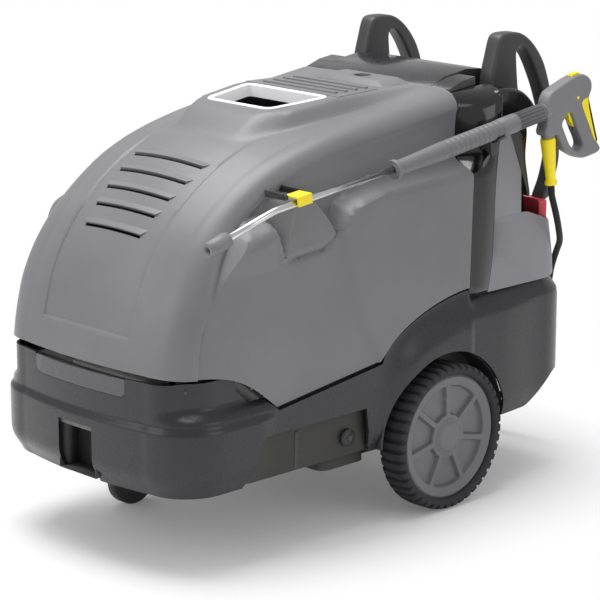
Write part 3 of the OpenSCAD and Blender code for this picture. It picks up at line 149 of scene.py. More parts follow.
def make_mesh(name: str, verts: Array, faces: Iterable, crease: float = 35.0) -> bpy.types.Object:
    """Object at the origin from points in millimetres.

    Args:
        name: object and mesh name.
        verts: (n, 3) points in millimetres.
        faces: lists of vertex indices.
        crease: edges sharper than this many degrees are shaded as edges.

    Returns:
        The linked object, shaded smooth.
    """
    mesh = bpy.data.meshes.new(name)
    mesh.from_pydata((np.asarray(verts, float) * MM).tolist(), [],
                     [list(map(int, f)) for f in faces])
    mesh.update()
    obj = bpy.data.objects.new(name, mesh)
    bpy.context.scene.collection.objects.link(obj)
    shade(obj, crease)
    return obj


def shade(obj: bpy.types.Object, crease: float) -> None:
    """Shades obj smooth except across edges sharper than crease degrees."""
    obj.data.shade_smooth()
    obj.data.set_sharp_from_angle(angle=math.radians(crease))


def outward(obj: bpy.types.Object) -> bpy.types.Object:
    """Turns all faces of a closed mesh to point outwards."""
    bm = bmesh.new()
    bm.from_mesh(obj.data)
    bmesh.ops.remove_doubles(bm, verts=bm.verts, dist=1e-6)
    bmesh.ops.recalc_face_normals(bm, faces=bm.faces)
    bm.to_mesh(obj.data)
    bm.free()
    obj.data.update()
    return obj


def applied(obj: bpy.types.Object, crease: Optional[float] = None) -> bpy.types.Object:
    """Bakes the modifiers of obj into its mesh and shades it again."""
    graph = bpy.context.evaluated_depsgraph_get()
    mesh = bpy.data.meshes.new_from_object(obj.evaluated_get(graph), depsgraph=graph)
    obj.modifiers.clear()
    obj.data = mesh
    if crease is not None:
        shade(obj, crease)
    return obj


def cut(obj: bpy.types.Object, tools: Sequence[bpy.types.Object], crease: float = 35.0,
        solver: str = "EXACT") -> None:
    """Cuts closed tool meshes out of obj and deletes the tools."""
    for tool in tools:
        mod = obj.modifiers.new("cut", "BOOLEAN")
        mod.operation, mod.solver, mod.object = "DIFFERENCE", solver, tool
    applied(obj, crease)
    for tool in tools:
        bpy.data.objects.remove(tool, do_unlink=True)


def walled(obj: bpy.types.Object, thickness: float) -> bpy.types.Object:
    """Gives an open sheet a wall of that many millimetres on its inner side."""
    mod = obj.modifiers.new("wall", "SOLIDIFY")
    mod.thickness, mod.offset = thickness * MM, -1.0
    return applied(obj)


def bevelled(obj: bpy.types.Object, width: float, segments: int = 2,
             angle: float = 35.0) -> bpy.types.Object:
    """Rounds the sharp edges of obj by width millimetres."""
    mod = obj.modifiers.new("edges", "BEVEL")
    mod.width, mod.segments, mod.limit_method = width * MM, segments, "ANGLE"
    mod.angle_limit = math.radians(angle)
    mod.use_clamp_overlap = True
    mod.harden_normals = False
    return applied(obj, angle)


def sheet_mesh(name: str, grid: Array, crease: float = 35.0,
               flip: bool = False) -> bpy.types.Object:
    """Open sheet from a (rows, cols, 3) grid of points."""
    faces = grid_faces(grid.shape[0], grid.shape[1])
    return make_mesh(name, grid.reshape(-1, 3), faces[:, ::-1] if flip else faces, crease)


def capped_rings(name: str, rings: Array, crease: float = 35.0) -> bpy.types.Object:
    """Closed solid from a (rows, around, 3) stack of rings with flat ends."""
    n, m = rings.shape[:2]
    faces = [list(f) for f in grid_faces(n, m, around=True)]
    faces += [list(range(m))[::-1], [(n - 1) * m + k for k in range(m)]]
    return outward(make_mesh(name, rings.reshape(-1, 3), faces, crease))


def lathe(name: str, profile: Sequence[Sequence[float]], steps: int = 64, crease: float = 30.0,
          place: Optional[Matrix] = None) -> bpy.types.Object:
    """Closed solid of revolution: each point (r, h) of a closed profile turns about the local Z
    axis.

    Args:
        name: object name.
        profile: closed outline in (radius, height), in millimetres.
        steps: divisions of the turn.
        crease: sharp-edge angle in degrees.
        place: where the local frame stands, with its translation in millimetres.

    Returns:
        The object.
    """
    p = np.asarray(profile, float)
    a = np.linspace(0, 2 * math.pi, steps, endpoint=False)[:, None]
    pts = np.stack([p[:, 0] * np.cos(a), p[:, 0] * np.sin(a), p[:, 1] + 0 * a], -1).reshape(-1, 3)
    if place is not None:
        m = np.array(place)
        pts = pts @ m[:3, :3].T + m[:3, 3]
    obj = make_mesh(name, pts, grid_faces(steps, len(p), around=True, closed=True), crease)
    return outward(obj)


def tube_rings(path: Array, radius: Array, sides: int, reference: Sequence[float]) -> Array:
    """Rings of a round tube: centre + radius * (u cos t + v sin t), u and v square to the path.

    Args:
        path: (n, 3) centre line.
        radius: one radius, or one for each point.
        sides: points in a ring.
        reference: a direction that the path never runs along.

    Returns:
        (n, sides, 3) points.
    """
    t = unit(np.gradient(path, axis=0))
    u = unit(np.cross(t, np.asarray(reference, float)))
    v = np.cross(t, u)
    a = np.linspace(0, 2 * math.pi, sides, endpoint=False)
    r = np.broadcast_to(radius, (len(path),))[:, None, None]
    across = u[:, None] * np.cos(a)[None, :, None] + v[:, None] * np.sin(a)[None, :, None]
    return path[:, None] + r * across


def swept(name: str, path: Array, radius: Array, sides: int = 20,
          reference: Sequence[float] = (0, 0, 1), crease: float = 50.0) -> bpy.types.Object:
    """Closed round tube along a path, with flat ends; arguments as for tube_rings."""
    return capped_rings(name, tube_rings(np.asarray(path, float), radius, sides, reference), crease)


def polished(node: str, width: float = 0.0, crease: float = 32.0,
             name: str = "") -> bpy.types.Object:
    """Smooth-shaded copy of a CAD node with its doubles merged and, if asked, its edges rounded.

    Args:
        node: CAD node to copy.
        width: edge rounding in millimetres, 0 for none.
        crease: sharp-edge angle in degrees.
        name: name of the copy; node + "_skin" if empty.

    Returns:
        The copy, which replaces the node and rides on its body.
    """
    source = frame["nodes"][node]
    mesh = source.data.copy()
    mesh.materials.clear()
    obj = bpy.data.objects.new(name or node + "_skin", mesh)
    bpy.context.scene.collection.objects.link(obj)
    bm = bmesh.new()
    bm.from_mesh(mesh)
    bmesh.ops.remove_doubles(bm, verts=bm.verts, dist=2e-6)
    if width:
        bmesh.ops.dissolve_limit(bm, angle_limit=math.radians(0.6), verts=bm.verts, edges=bm.edges)
    bm.to_mesh(mesh)
    bm.free()
    shade(obj, crease)
    if width:
        bevelled(obj, width, 2, crease)
    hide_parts(node)
    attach(obj, source["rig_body"])
    return obj


# ---------------------------------------------------------------- materials

class Effect(Enum):
    """Shared shader node groups."""
    GRAIN = "moulded_grain"
    WEAR = "surface_wear"
    BRUSHED = "brushed_metal"


class Graph:
    """Small builder for node trees: adds nodes by type name and links sockets."""

    def __init__(self, tree: bpy.types.NodeTree) -> None:
        """Keeps the tree that the nodes go into."""
        self.tree = tree

    def node(self, kind: str, **values) -> bpy.types.Node:
        """Adds a node; values with an attribute's name set it, others set the input of that
        name."""
        n = self.tree.nodes.new(kind)
        for key, value in values.items():
            if hasattr(n, key):
                setattr(n, key, value)
            else:
                n.inputs[key.replace("_", " ")].default_value = value
        return n

    def join(self, out: bpy.types.NodeSocket, into: bpy.types.NodeSocket) -> None:
        """Links an output to an input."""
        self.tree.links.new(out, into)

    def maths(self, kind: str, a: Number, b: Number = 0.0) -> bpy.types.NodeSocket:
        """Math node of two values or sockets; returns its output."""
        n = self.node("ShaderNodeMath", operation=kind)
        for k, value in enumerate((a, b)):
            if isinstance(value, bpy.types.NodeSocket):
                self.join(value, n.inputs[k])
            else:
                n.inputs[k].default_value = value
        return n.outputs[0]

    def ramp(self, value: bpy.types.NodeSocket, low: float, high: float, a: float,
             b: float) -> bpy.types.NodeSocket:
        """Maps value from low..high to a..b, clamped."""
        n = self.node("ShaderNodeMapRange", clamp=True)
        self.join(value, n.inputs["Value"])
        for key, number in (("From Min", low), ("From Max", high), ("To Min", a), ("To Max", b)):
            n.inputs[key].default_value = number
        return n.outputs["Result"]


def new_group(effect: Effect, inputs: Sequence[Tuple[str, str, object]],
              outputs: Sequence[Tuple[str, str]]) -> Tuple[Graph, bpy.types.Node, bpy.types.Node]:
    """Empty shader group with named sockets.

    Args:
        effect: which shared effect it is.
        inputs: (name, socket type, default) of each input.
        outputs: (name, socket type) of each output.

    Returns:
        Its graph, input node and output node.
    """
    tree = bpy.data.node_groups.new(effect.value, "ShaderNodeTree")
    for name, kind, default in inputs:
        tree.interface.new_socket(name, in_out="INPUT", socket_type=kind).default_value = default
    for name, kind in outputs:
        tree.interface.new_socket(name, in_out="OUTPUT", socket_type=kind)
    g = Graph(tree)
    return g, g.node("NodeGroupInput"), g.node("NodeGroupOutput")


def build_effects() -> None:
    """Builds the shared node groups: moulded grain, wear with mottling, and brushed metal."""
    g, i, o = new_group(Effect.GRAIN, [("Size", "NodeSocketFloat", 900.0)],
                        [("Height", "NodeSocketFloat")])
    at = g.node("ShaderNodeTexCoord").outputs["Object"]
    fine = g.node("ShaderNodeTexNoise", Detail=2.0, Roughness=0.6)
    pits = g.node("ShaderNodeTexVoronoi", feature="SMOOTH_F1")
    for n, factor in ((fine, 1.0), (pits, 0.6)):
        g.join(at, n.inputs["Vector"])
        g.join(g.maths("MULTIPLY", i.outputs["Size"], factor), n.inputs["Scale"])
    g.join(g.maths("ADD", fine.outputs["Fac"], g.maths("MULTIPLY", pits.outputs["Distance"], 0.5)),
           o.inputs["Height"])

    g, i, o = new_group(Effect.WEAR, [("Colour", "NodeSocketColor", (0.2, 0.2, 0.2, 1)),
                                      ("Worn", "NodeSocketColor", (0.4, 0.4, 0.4, 1)),
                                      ("Amount", "NodeSocketFloat", 0.3),
                                      ("Roughness", "NodeSocketFloat", 0.5)],
                        [("Colour", "NodeSocketColor"), ("Roughness", "NodeSocketFloat")])
    at = g.node("ShaderNodeTexCoord").outputs["Object"]
    cloud = g.node("ShaderNodeTexNoise", Scale=5.0, Detail=4.0, Roughness=0.55)
    speck = g.node("ShaderNodeTexNoise", Scale=140.0, Detail=3.0, Roughness=0.7)
    edge = g.node("ShaderNodeNewGeometry").outputs["Pointiness"]
    for n in (cloud, speck):
        g.join(at, n.inputs["Vector"])
    tone = g.ramp(cloud.outputs["Fac"], 0.3, 0.7, 0.93, 1.07)
    shaded = g.node("ShaderNodeVectorMath", operation="SCALE")
    g.join(i.outputs["Colour"], shaded.inputs[0])
    g.join(tone, shaded.inputs["Scale"])
    rub = g.maths("MULTIPLY", g.ramp(edge, 0.52, 0.62, 0.0, 1.0),
                  g.ramp(speck.outputs["Fac"], 0.35, 0.65, 0.2, 1.0))
    mixer = g.node("ShaderNodeMix", data_type="RGBA")
    g.join(g.maths("MULTIPLY", rub, i.outputs["Amount"]), mixer.inputs["Factor"])
    g.join(shaded.outputs[0], mixer.inputs[6])
    g.join(i.outputs["Worn"], mixer.inputs[7])
    g.join(mixer.outputs[2], o.inputs["Colour"])
    uneven = g.ramp(speck.outputs["Fac"], 0.3, 0.7, -0.05, 0.05)
    g.join(g.maths("ADD", i.outputs["Roughness"], uneven), o.inputs["Roughness"])

    g, i, o = new_group(Effect.BRUSHED, [("Roughness", "NodeSocketFloat", 0.3),
                                         ("Along", "NodeSocketVector", (1, 1, 1))],
                        [("Height", "NodeSocketFloat"), ("Roughness", "NodeSocketFloat")])
    at = g.node("ShaderNodeTexCoord").outputs["Object"]
    stretch = g.node("ShaderNodeVectorMath", operation="MULTIPLY")
    g.join(at, stretch.inputs[0])
    g.join(i.outputs["Along"], stretch.inputs[1])
    lines = g.node("ShaderNodeTexNoise", Scale=600.0, Detail=2.0)
    g.join(stretch.outputs[0], lines.inputs["Vector"])
    g.join(lines.outputs["Fac"], o.inputs["Height"])
    uneven = g.ramp(lines.outputs["Fac"], 0.3, 0.7, -0.08, 0.08)
    g.join(g.maths("ADD", i.outputs["Roughness"], uneven), o.inputs["Roughness"])


def linear(grey: Sequence[float]) -> Colour:
    """Linear colour of an sRGB triple from 0 to 255."""
    v = np.asarray(grey, float) / 255.0
    return tuple(np.where(v <= 0.04045, v / 12.92, ((v + 0.055) / 1.055) ** 2.4))


@dataclass(frozen=True)
class Finish:
    """Common base of the finishes: a name, a colour as sRGB 0..255 and a roughness."""
    name: str
    colour: Sequence[float]
    roughness: float = 0.5

    def shader(self, material: bpy.types.Material) -> None:
        """Sets up the material's nodes; each kind of finish has its own."""
        raise NotImplementedError

    def make(self) -> bpy.types.Material:
        """The finish's material, built on first use."""
        found = bpy.data.materials.get(self.name)
        if found:
            return found
        material = bpy.data.materials.new(self.name)
        material.use_nodes = True
        self.shader(material)
        return material

    def base(self, material: bpy.types.Material, **sockets) -> Tuple[Graph, bpy.types.Node]:
        """Graph and Principled BSDF of the material, with constant sockets set."""
        bsdf = material.node_tree.nodes["Principled BSDF"]
        bsdf.inputs["Base Color"].default_value = (*linear(self.colour), 1)
        bsdf.inputs["Roughness"].default_value = self.roughness
        for key, value in sockets.items():
            bsdf.inputs[key.replace("_", " ")].default_value = value
        return Graph(material.node_tree), bsdf

    def worn(self, g: Graph, bsdf: bpy.types.Node, edge: Sequence[float],
             amount: float) -> bpy.types.Node:
        """Feeds colour and roughness through the shared wear group."""
        n = g.node("ShaderNodeGroup", node_tree=bpy.data.node_groups[Effect.WEAR.value])
        n.inputs["Colour"].default_value = (*linear(self.colour), 1)
        n.inputs["Worn"].default_value = (*linear(edge), 1)
        n.inputs["Amount"].default_value = amount
        n.inputs["Roughness"].default_value = self.roughness
        g.join(n.outputs["Colour"], bsdf.inputs["Base Color"])
        g.join(n.outputs["Roughness"], bsdf.inputs["Roughness"])
        return n

    def grained(self, g: Graph, bsdf: bpy.types.Node, size: float, depth_mm: float) -> None:
        """Bump from the shared grain group, at a noise scale and depth_mm deep."""
        n = g.node("ShaderNodeGroup", node_tree=bpy.data.node_groups[Effect.GRAIN.value])
        n.inputs["Size"].default_value = size
        self.bump(g, bsdf, n.outputs["Height"], depth_mm)

    def two_tone(self, g: Graph, bsdf: bpy.types.Node, share: bpy.types.NodeSocket,
                 tones: Tuple[float, float]) -> None:
        """Base colour between the colour times each of two tones, by a share."""
        mixer = g.node("ShaderNodeMix", data_type="RGBA")
        g.join(share, mixer.inputs["Factor"])
        c = np.array(linear(self.colour))
        for k, tone in zip((6, 7), tones):
            mixer.inputs[k].default_value = (*np.minimum(c * tone, 1.0), 1)
        g.join(mixer.outputs[2], bsdf.inputs["Base Color"])

    @staticmethod
    def bump(g: Graph, bsdf: bpy.types.Node, height: bpy.types.NodeSocket, depth_mm: float) -> None:
        """Bump from a height, depth_mm deep."""
        n = g.node("ShaderNodeBump", Strength=1.0, Distance=depth_mm * MM)
        g.join(height, n.inputs["Height"])
        g.join(n.outputs["Normal"], bsdf.inputs["Normal"])


@dataclass(frozen=True)
class Moulded(Finish):
    """Injection-moulded plastic with an eroded grain."""
    grain: float = 900.0
    depth: float = 0.02
    worn_to: Sequence[float] = (150, 150, 152)
    wear: float = 0.25
    coat: float = 0.0

    def shader(self, material: bpy.types.Material) -> None:
        """Wear group for colour, grain group for the bump."""
        g, bsdf = self.base(material, Coat_Weight=self.coat, Coat_Roughness=0.08, IOR=1.49)
        self.worn(g, bsdf, self.worn_to, self.wear)
        self.grained(g, bsdf, self.grain, self.depth)


@dataclass(frozen=True)
class Metal(Finish):
    """Bare or plated metal with fine drawing lines; along scales the pattern on each axis."""
    along: Sequence[float] = (1.0, 1.0, 1.0)

    def shader(self, material: bpy.types.Material) -> None:
        """Brushed group for roughness and bump."""
        g, bsdf = self.base(material, Metallic=1.0)
        n = g.node("ShaderNodeGroup", node_tree=bpy.data.node_groups[Effect.BRUSHED.value])
        n.inputs["Roughness"].default_value = self.roughness
        n.inputs["Along"].default_value = self.along
        g.join(n.outputs["Roughness"], bsdf.inputs["Roughness"])
        noise = g.node("ShaderNodeTexNoise", Scale=9.0, Detail=3.0)
        g.join(g.node("ShaderNodeTexCoord").outputs["Object"], noise.inputs["Vector"])
        self.two_tone(g, bsdf, g.ramp(noise.outputs["Fac"], 0.3, 0.7, 0.0, 1.0), (0.9, 1.08))
        self.bump(g, bsdf, n.outputs["Height"], 0.004)


@dataclass(frozen=True)
class Painted(Finish):
    """Painted or coated sheet metal: slight orange peel under a clear film."""
    peel: float = 0.012

    def shader(self, material: bpy.types.Material) -> None:
        """Wear group for chipped edges, low bump for the film."""
        g, bsdf = self.base(material, Coat_Weight=0.3, Coat_Roughness=0.2)
        self.worn(g, bsdf, (170, 168, 160), 0.4)
        self.grained(g, bsdf, 350.0, self.peel)


@dataclass(frozen=True)
class Rubber(Finish):
    """Matte rubber with a powdery bloom."""

    def shader(self, material: bpy.types.Material) -> None:
        """Wear group lightens raised edges; fine grain."""
        g, bsdf = self.base(material, Specular_IOR_Level=0.35)
        self.worn(g, bsdf, (92, 91, 88), 0.5)
        self.grained(g, bsdf, 500.0, 0.04)


@dataclass(frozen=True)
class Clear(Finish):
    """Tinted clear plastic such as a lens: smooth, with prisms under the surface."""
    pitch: float = 260.0

    def shader(self, material: bpy.types.Material) -> None:
        """Colour varied by a small cell pattern, under a glossy coat."""
        g, bsdf = self.base(material, Coat_Weight=1.0, Coat_Roughness=0.03)
        cells = g.node("ShaderNodeTexVoronoi", distance="CHEBYCHEV", Scale=self.pitch,
                       Randomness=0.0)
        g.join(g.node("ShaderNodeTexCoord").outputs["Object"], cells.inputs["Vector"])
        self.two_tone(g, bsdf, g.ramp(cells.outputs["Distance"], 0.0, 0.6, 0.0, 1.0), (1.3, 0.72))
        self.bump(g, bsdf, cells.outputs["Distance"], 0.15)


HOOD_GREY = Moulded("hood_grey", (110, 110, 112), 0.4, grain=1100, depth=0.012, wear=0.12)
SIDE_GREY = Moulded("side_grey", (126, 125, 130), 0.45, grain=1100, depth=0.012, wear=0.12)
CHASSIS_GREY = Moulded("chassis_grey", (34, 34, 38), 0.3, grain=900, depth=0.002, wear=0.0)
FLAP_GREY = Moulded("flap_grey", (68, 66, 71), 0.42, grain=900, depth=0.012, wear=0.15)
COLUMN_BLACK = Moulded("column_black", (12, 12, 14), 0.16, grain=500, depth=0.003, wear=0.06,
                       coat=0.3)
BLACK_PLASTIC = Moulded("black_plastic", (34, 34, 36), 0.45, grain=900, depth=0.015, wear=0.2)
CONSOLE_BLACK = Moulded("console_black", (34, 34, 37), 0.24, grain=900, depth=0.006, wear=0.1,
                        coat=0.3)
HANDLE_GREY = Moulded("handle_grey", (54, 54, 56), 0.42, grain=1000, depth=0.02, wear=0.2)
GRIP_GREY = Moulded("grip_grey", (107, 107, 109), 0.5, grain=1000, depth=0.02, wear=0.15)
NOZZLE_GREY = Moulded("nozzle_grey", (112, 112, 114), 0.45, grain=1000, depth=0.015, wear=0.15)
GUN_GREY = Moulded("gun_grey", (114, 114, 116), 0.45, grain=1000, depth=0.015, wear=0.15)
RIM_WHITE = Moulded("rim_white", (246, 246, 247), 0.35, grain=1000, depth=0.006, wear=0.04)
YELLOW = Moulded("signal_yellow", (241, 218, 10), 0.38, grain=900, depth=0.008,
                 worn_to=(250, 236, 120), wear=0.15)
RIM_GREY = Moulded("rim_grey", (104, 104, 106), 0.42, grain=900, depth=0.012, wear=0.2)
TYRE_RUBBER = Rubber("tyre_rubber", (44, 44, 46), 0.72)
HOSE_RUBBER = Rubber("hose_rubber", (30, 30, 32), 0.5)
TANK_BLACK = Moulded("tank_black", (43, 42, 40), 0.5, grain=700, depth=0.02, wear=0.2)
CLEAR_TANK = Moulded("clear_tank", (205, 208, 210), 0.35, grain=500, depth=0.01, wear=0.05)
STEEL = Metal("stainless_steel", (205, 205, 206), 0.22, along=(1, 0.03, 0.2))
ZINC = Metal("zinc_plate", (168, 170, 172), 0.38)
BRASS = Metal("brass", (190, 152, 84), 0.32)
BOILER = Metal("boiler_steel", (196, 197, 200), 0.3, along=(1, 1, 0.04))
SHEET = Painted("sheet_paint", (52, 52, 55), 0.5)
MOTOR_PAINT = Painted("motor_paint", (48, 54, 60), 0.42)
BOX_PAINT = Painted("box_paint", (150, 150, 154), 0.45)
RED_LENS = Clear("red_lens", (206, 50, 54), 0.12)
GREEN_LENS = Clear("green_lens", (60, 190, 80), 0.12)
RED_CAP = Moulded("red_cap", (190, 40, 34), 0.4, wear=0.15)
BLUE_CAP = Moulded("blue_cap", (40, 84, 168), 0.4, wear=0.15)
FACE_GREY = Moulded("face_grey", (120, 122, 124), 0.4, grain=900, depth=0.008, wear=0.1)
DIAL_WHITE = Moulded("dial_white", (236, 236, 232), 0.3, grain=400, depth=0.002, wear=0.0, coat=0.8)


# ---------------------------------------------------------------- placing pieces

def add(obj: bpy.types.Object, body: str, slot: str, finish: Finish,
        *nodes: str) -> bpy.types.Object:
    """Finishes a piece: material, body and the CAD nodes that it stands for; the slot argument is
    not used.
    """
    obj.data.materials.clear()
    obj.data.materials.append(finish.make())
    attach(obj, body)
    if nodes:
        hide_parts(*nodes)
    LOG.info("piece %s on %s: %s, %d faces", obj.name, body, finish.name, len(obj.data.polygons))
    return obj


def skin(node: str, finish: Finish, width: float = 0.0, crease: float = 32.0) -> bpy.types.Object:
    """Polished copy of a CAD node in a finish."""
    obj = polished(node, width, crease)
    obj.data.materials.append(finish.make())
    LOG.info("skin of %s: %s, %d faces", node, finish.name, len(obj.data.polygons))
    return obj


SLOTS = {s["node"]: s["material_slot"] for s in frame["record"]["subparts"]}


@dataclass
class HoodShell:
    """One-piece hood: a fan of sections from the shoulder line down to the lower edge."""
    top_z: float = 950.0
    lip_z: float = 441.0
    nose: float = 632.0
    rear: float = 250.0
    body_hw: float = 322.0
    wall: float = 4.0
    skirt_low: Tuple[float, float] = (-360, 342)
    skirt_rear: float = -43
    # dark sheet of painted shadow under the hood's lower edge: its wall, inward share, set-back at
    # the nose, rise and fall
    shadow_gap_wall: float = 4.0
    shadow_gap_share: float = 0.965
    shadow_gap_back: float = 14.0
    shadow_gap_rise: float = 14.0
    shadow_gap_fall: float = 36.0
    front_flat: float = 212.0
    flare_line: Tuple = ((-700, 630, 50), (-554, 643, 52), (-536, 661, 52), (-512, 678, 52),
                         (-463, 698, 52), (-402, 711, 50), (-366, 724, 40), (-338, 650, 30),
                         (-300, 652, 26), (-229, 657, 26), (-195, 668, 26), (-175, 684, 26),
                         (-161, 706, 26), (-142, 730, 26), (-102, 748, 26), (-51, 758, 28),
                         (0, 760, 30), (250, 764, 34))
    panel_end: Tuple = ((390, -52), (418, -77), (463, -104), (510, -126), (576, -148), (629, -164),
                        (686, -173), (713, -161))
    louvre_z: Tuple = (843, 815, 784, 752, 713)
    louvre_w: Tuple = (113, 110, 104, 98, 92)
    shares: Tuple = ((0, 0), (.008, .086), (.023, .19), (.044, .297), (.0805, .4165), (.1315, .534),
                     (.2, .6444), (.28, .7387), (.356, .8), (.4195, .837), (.484, .866),
                     (.558, .893), (.671, .9234), (.8356, .9607), (1, .998))
    plateau: Tuple = ((-293, 118, 84), (-240, 140, 98), (-203, 160, 104), (-155, 172, 136),
                      (-43, 187, 149), (80, 190, 150), (147, 186, 150), (260, 170, 146))

    def fender(self, y: Array) -> Array:
        """Height of the lower edge over the wheel: a superellipse arc of power 1.6."""
        u = np.clip((236 - y) / 279.0, 0, 1)
        return 383 + 122 * (1 - u ** 1.6) ** (1 / 1.6)

    def lower_edge(self, y: Array) -> Array:
        """Height of the lower edge: a straight fall from the nose, a straight rise along the skirt,
        then the fender."""
        return np.where(y < self.skirt_low[0], 430 - (y + 461) * 88 / 101.0,
                        np.where(y < self.skirt_rear, self.skirt_low[1] + (y + 360) * 41 / 317.0,
                                 self.fender(y)))

    def lance_z(self, y: Array) -> Array:
        """Height of the stored lance's axis: two straight runs."""
        return np.where(y < -399, 728 + (y + 587) * 55 / 188.0, 783 + (y + 399) * 107 / 851.0)

    def side_x(self, y: Array, z: Array, top: Array) -> Array:
        """Half width of the side: the recess of the stored lance, the flare below it with its
        edge, the wedge that the catch stands on, and the front panel sunk by a quadratic run-out
        at both ends."""
        line = [np.array(v, float) for v in zip(*self.flare_line)]
        edge, soft = np.interp(y, line[0], line[1]), np.interp(y, line[0], line[2])
        flare = 1 - smooth(edge, edge + soft, z)
        foot = np.interp(z, [648, 720, 773], [-342, -362, -350])
        face = np.interp(z, [648, 693, 738, 779], [-339, -331, -311, -289])
        back = np.interp(z, [690, 783], [-177, -244])
        behind, under = 1 - smooth(back - 4, back + 20, y), 1 - smooth(774, 796, z)
        wedge = np.clip((y - foot) / (face - foot), 0, 1) * behind * under
        flare = np.maximum(flare, wedge * (0.86 - 0.1 * np.clip((z - 650) / 133.0, 0, 1)))
        low = smooth(-610, -430, y)
        crease = np.interp(y, [-560, -494, -426, -341, -300, -229, -195, -175],
                           [634, 640, 642, 648, 657, 662, 674, 690])
        ridge = np.where(y < -350, np.maximum(edge - 8, crease + 12), crease + 14)
        end = np.interp(z, *np.array(self.panel_end, float).T)
        start = np.interp(z, [452, 488, 535, 573, 607, 635], [-619, -611, -599, -587, -573, -554])
        run_out = np.clip(1 - (y - end) / 32.0, 0, 1) ** 2
        depth = np.clip((ridge - z) / (ridge - crease), 0, 1)
        sunk = smooth(start, start + 12, y) * run_out * depth
        lz = self.lance_z(y)
        above, below = smooth(lz - 80, lz - 20, z), 1 - smooth(lz - 6, lz + 84, z)
        channel = smooth(-560, -400, y) * above * below
        return top + (self.body_hw - top) * low * flare - 12 * sunk - 6 * channel

    def section(self, s: Array) -> Tuple[Array, ...]:
        """Section shares to shoulder point, unit direction to the lower edge and length, as
        columns."""
        share = spline(self.shares, s / 2)
        cy = -self.nose + (self.rear + self.nose) * share[:, 0]
        cz = self.lip_z + (self.top_z - self.lip_z) * share[:, 1]
        by = np.interp(s, [0, 6, 16, 23, 28], [-461, -360, -43, 120, 236])
        bz = self.lower_edge(by)
        run = np.hypot(by - cy, bz - cz)
        return tuple(v[:, None] for v in (cy, cz, (by - cy) / run, (bz - cz) / run, run))

    def crowned(self, cy: Array, cz: Array, flat: Array, x: Array) -> Array:
        """Depth of the middle face below the shoulder: a parabola across, less the sunken panel."""
        crown = (15 + 13 * smooth(500, 650, cz)) * (1 - smooth(-150, 60, cy))
        low, high = smooth(500, 509, cz), 1 - smooth(800, 900, cz)
        sunk = 5 * (1 - smooth(141, 148, np.abs(x))) * low * high
        return -crown * (1 - (x / flat) ** 2) + sunk

    def surface(self) -> Array:
        """(rows, columns, 3) grid: across each section the crown x*x, the fillet's quarter ellipse,
        then the side; the plateau is a vertical lift blended in by smooth steps."""
        s = np.concatenate([np.linspace(0, 4.4, 52), np.linspace(4.5, 14, 86),
                            np.linspace(14.2, 28, 48)])
        cy, cz, dy, dz, run = self.section(s)
        narrow = smooth(640, 800, cz)
        top, fw, fh = 290 - 26 * narrow, 88 - 36 * narrow, 62 - 22 * narrow
        flat = top - fw
        u = np.concatenate([np.linspace(0, .67, 16), np.linspace(.69, .76, 8),
                            np.linspace(.78, 1, 8)])[None, :]
        x1 = flat * u
        n1 = self.crowned(cy, cz, flat, x1)
        a = np.radians(np.linspace(0, 90, 13)[1:])[None, :]
        x2, n2 = flat + fw * np.sin(a), fh * (1 - np.cos(a))
        v = np.linspace(0, 1, 77)[1:][None, :] ** 0.94
        n3 = fh + (run - fh) * v
        x3 = self.side_x(cy + dy * n3, cz + dz * n3, top)
        x = np.concatenate([x1, x2 + 0 * x3[:, :1], x3], 1)
        n = np.concatenate([n1, n2, n3], 1)
        y, z = cy + dy * n, cz + dz * n
        t = np.array(self.plateau, float)
        foot, edge = (np.interp(y, t[:, 0], t[:, k]) for k in (1, 2))
        level = self.top_z - 14 * (1 - smooth(-190, -10, y))
        lift = smooth(-293, -186, y) * (1 - smooth(edge, foot, x)) * np.maximum(0, level - z)
        z = z + np.where(np.arange(x.shape[1])[None, :] < u.shape[1], lift, 0)
        half = np.stack([x, y, z], -1)
        return np.concatenate([half[:, :0:-1] * [-1, 1, 1], half], 1)

    def on_front(self, z0: float, along: Array, x: Array, lift: Array) -> Array:
        """Points of the middle face: `along` mm up the slope from height z0, raised by lift along
        its normal, which is the centre line's tangent turned by a right angle."""
        s = np.linspace(2, 16, 1200)
        cy, cz, dy, dz, _ = self.section(s)
        n = self.crowned(cy, cz, self.front_flat, np.zeros((1, 1)))
        mid = np.concatenate([cy + dy * n, cz + dz * n], 1)
        length = run_along(mid)
        tangent = unit(np.gradient(mid, axis=0))
        at = np.interp(np.interp(z0, mid[:, 1], length) + along.ravel(), length, s)
        cy, cz, dy, dz, _ = (c.reshape(along.shape) for c in self.section(at))
        ty, tz = (np.interp(at, s, tangent[:, k]).reshape(along.shape) for k in (0, 1))
        n = self.crowned(cy, cz, self.front_flat, x)
        return np.stack([x, cy + dy * n - tz * lift, cz + dz * n + ty * lift], -1)

    def louvre(self, k: int) -> Tuple[bpy.types.Object, bpy.types.Object]:
        """One louvre: a blade rising linearly to its lower edge, its ends splayed outward by as
        much as they climb, and the cutter of the slot under that edge."""
        z0, w = self.louvre_z[k], self.louvre_w[k]
        t = np.linspace(-1, 1, 57)[:, None]
        d = np.concatenate([np.linspace(0, 27, 10), np.linspace(27, 0, 10)])[None, :]
        h = np.concatenate([9 * (1 - np.linspace(0, 27, 10) / 27.0), np.full(10, -2.5)])[None, :]
        rows = self.on_front(z0, d + 0 * t, t * (w + 17 * d / 27.0), h + 0 * t)
        blade = capped_rings(f"louvre_{k}", rows)
        d, h = np.array([[-7.0, 3.0, 3.0, -7.0]]), np.array([[14.0, 14.0, -16.0, -16.0]])
        rows = self.on_front(z0, d + 0 * t, t * (w - 1.5) + 0 * d, h + 0 * t)
        cutter = capped_rings(f"louvre_cut_{k}", rows)
        return blade, cutter

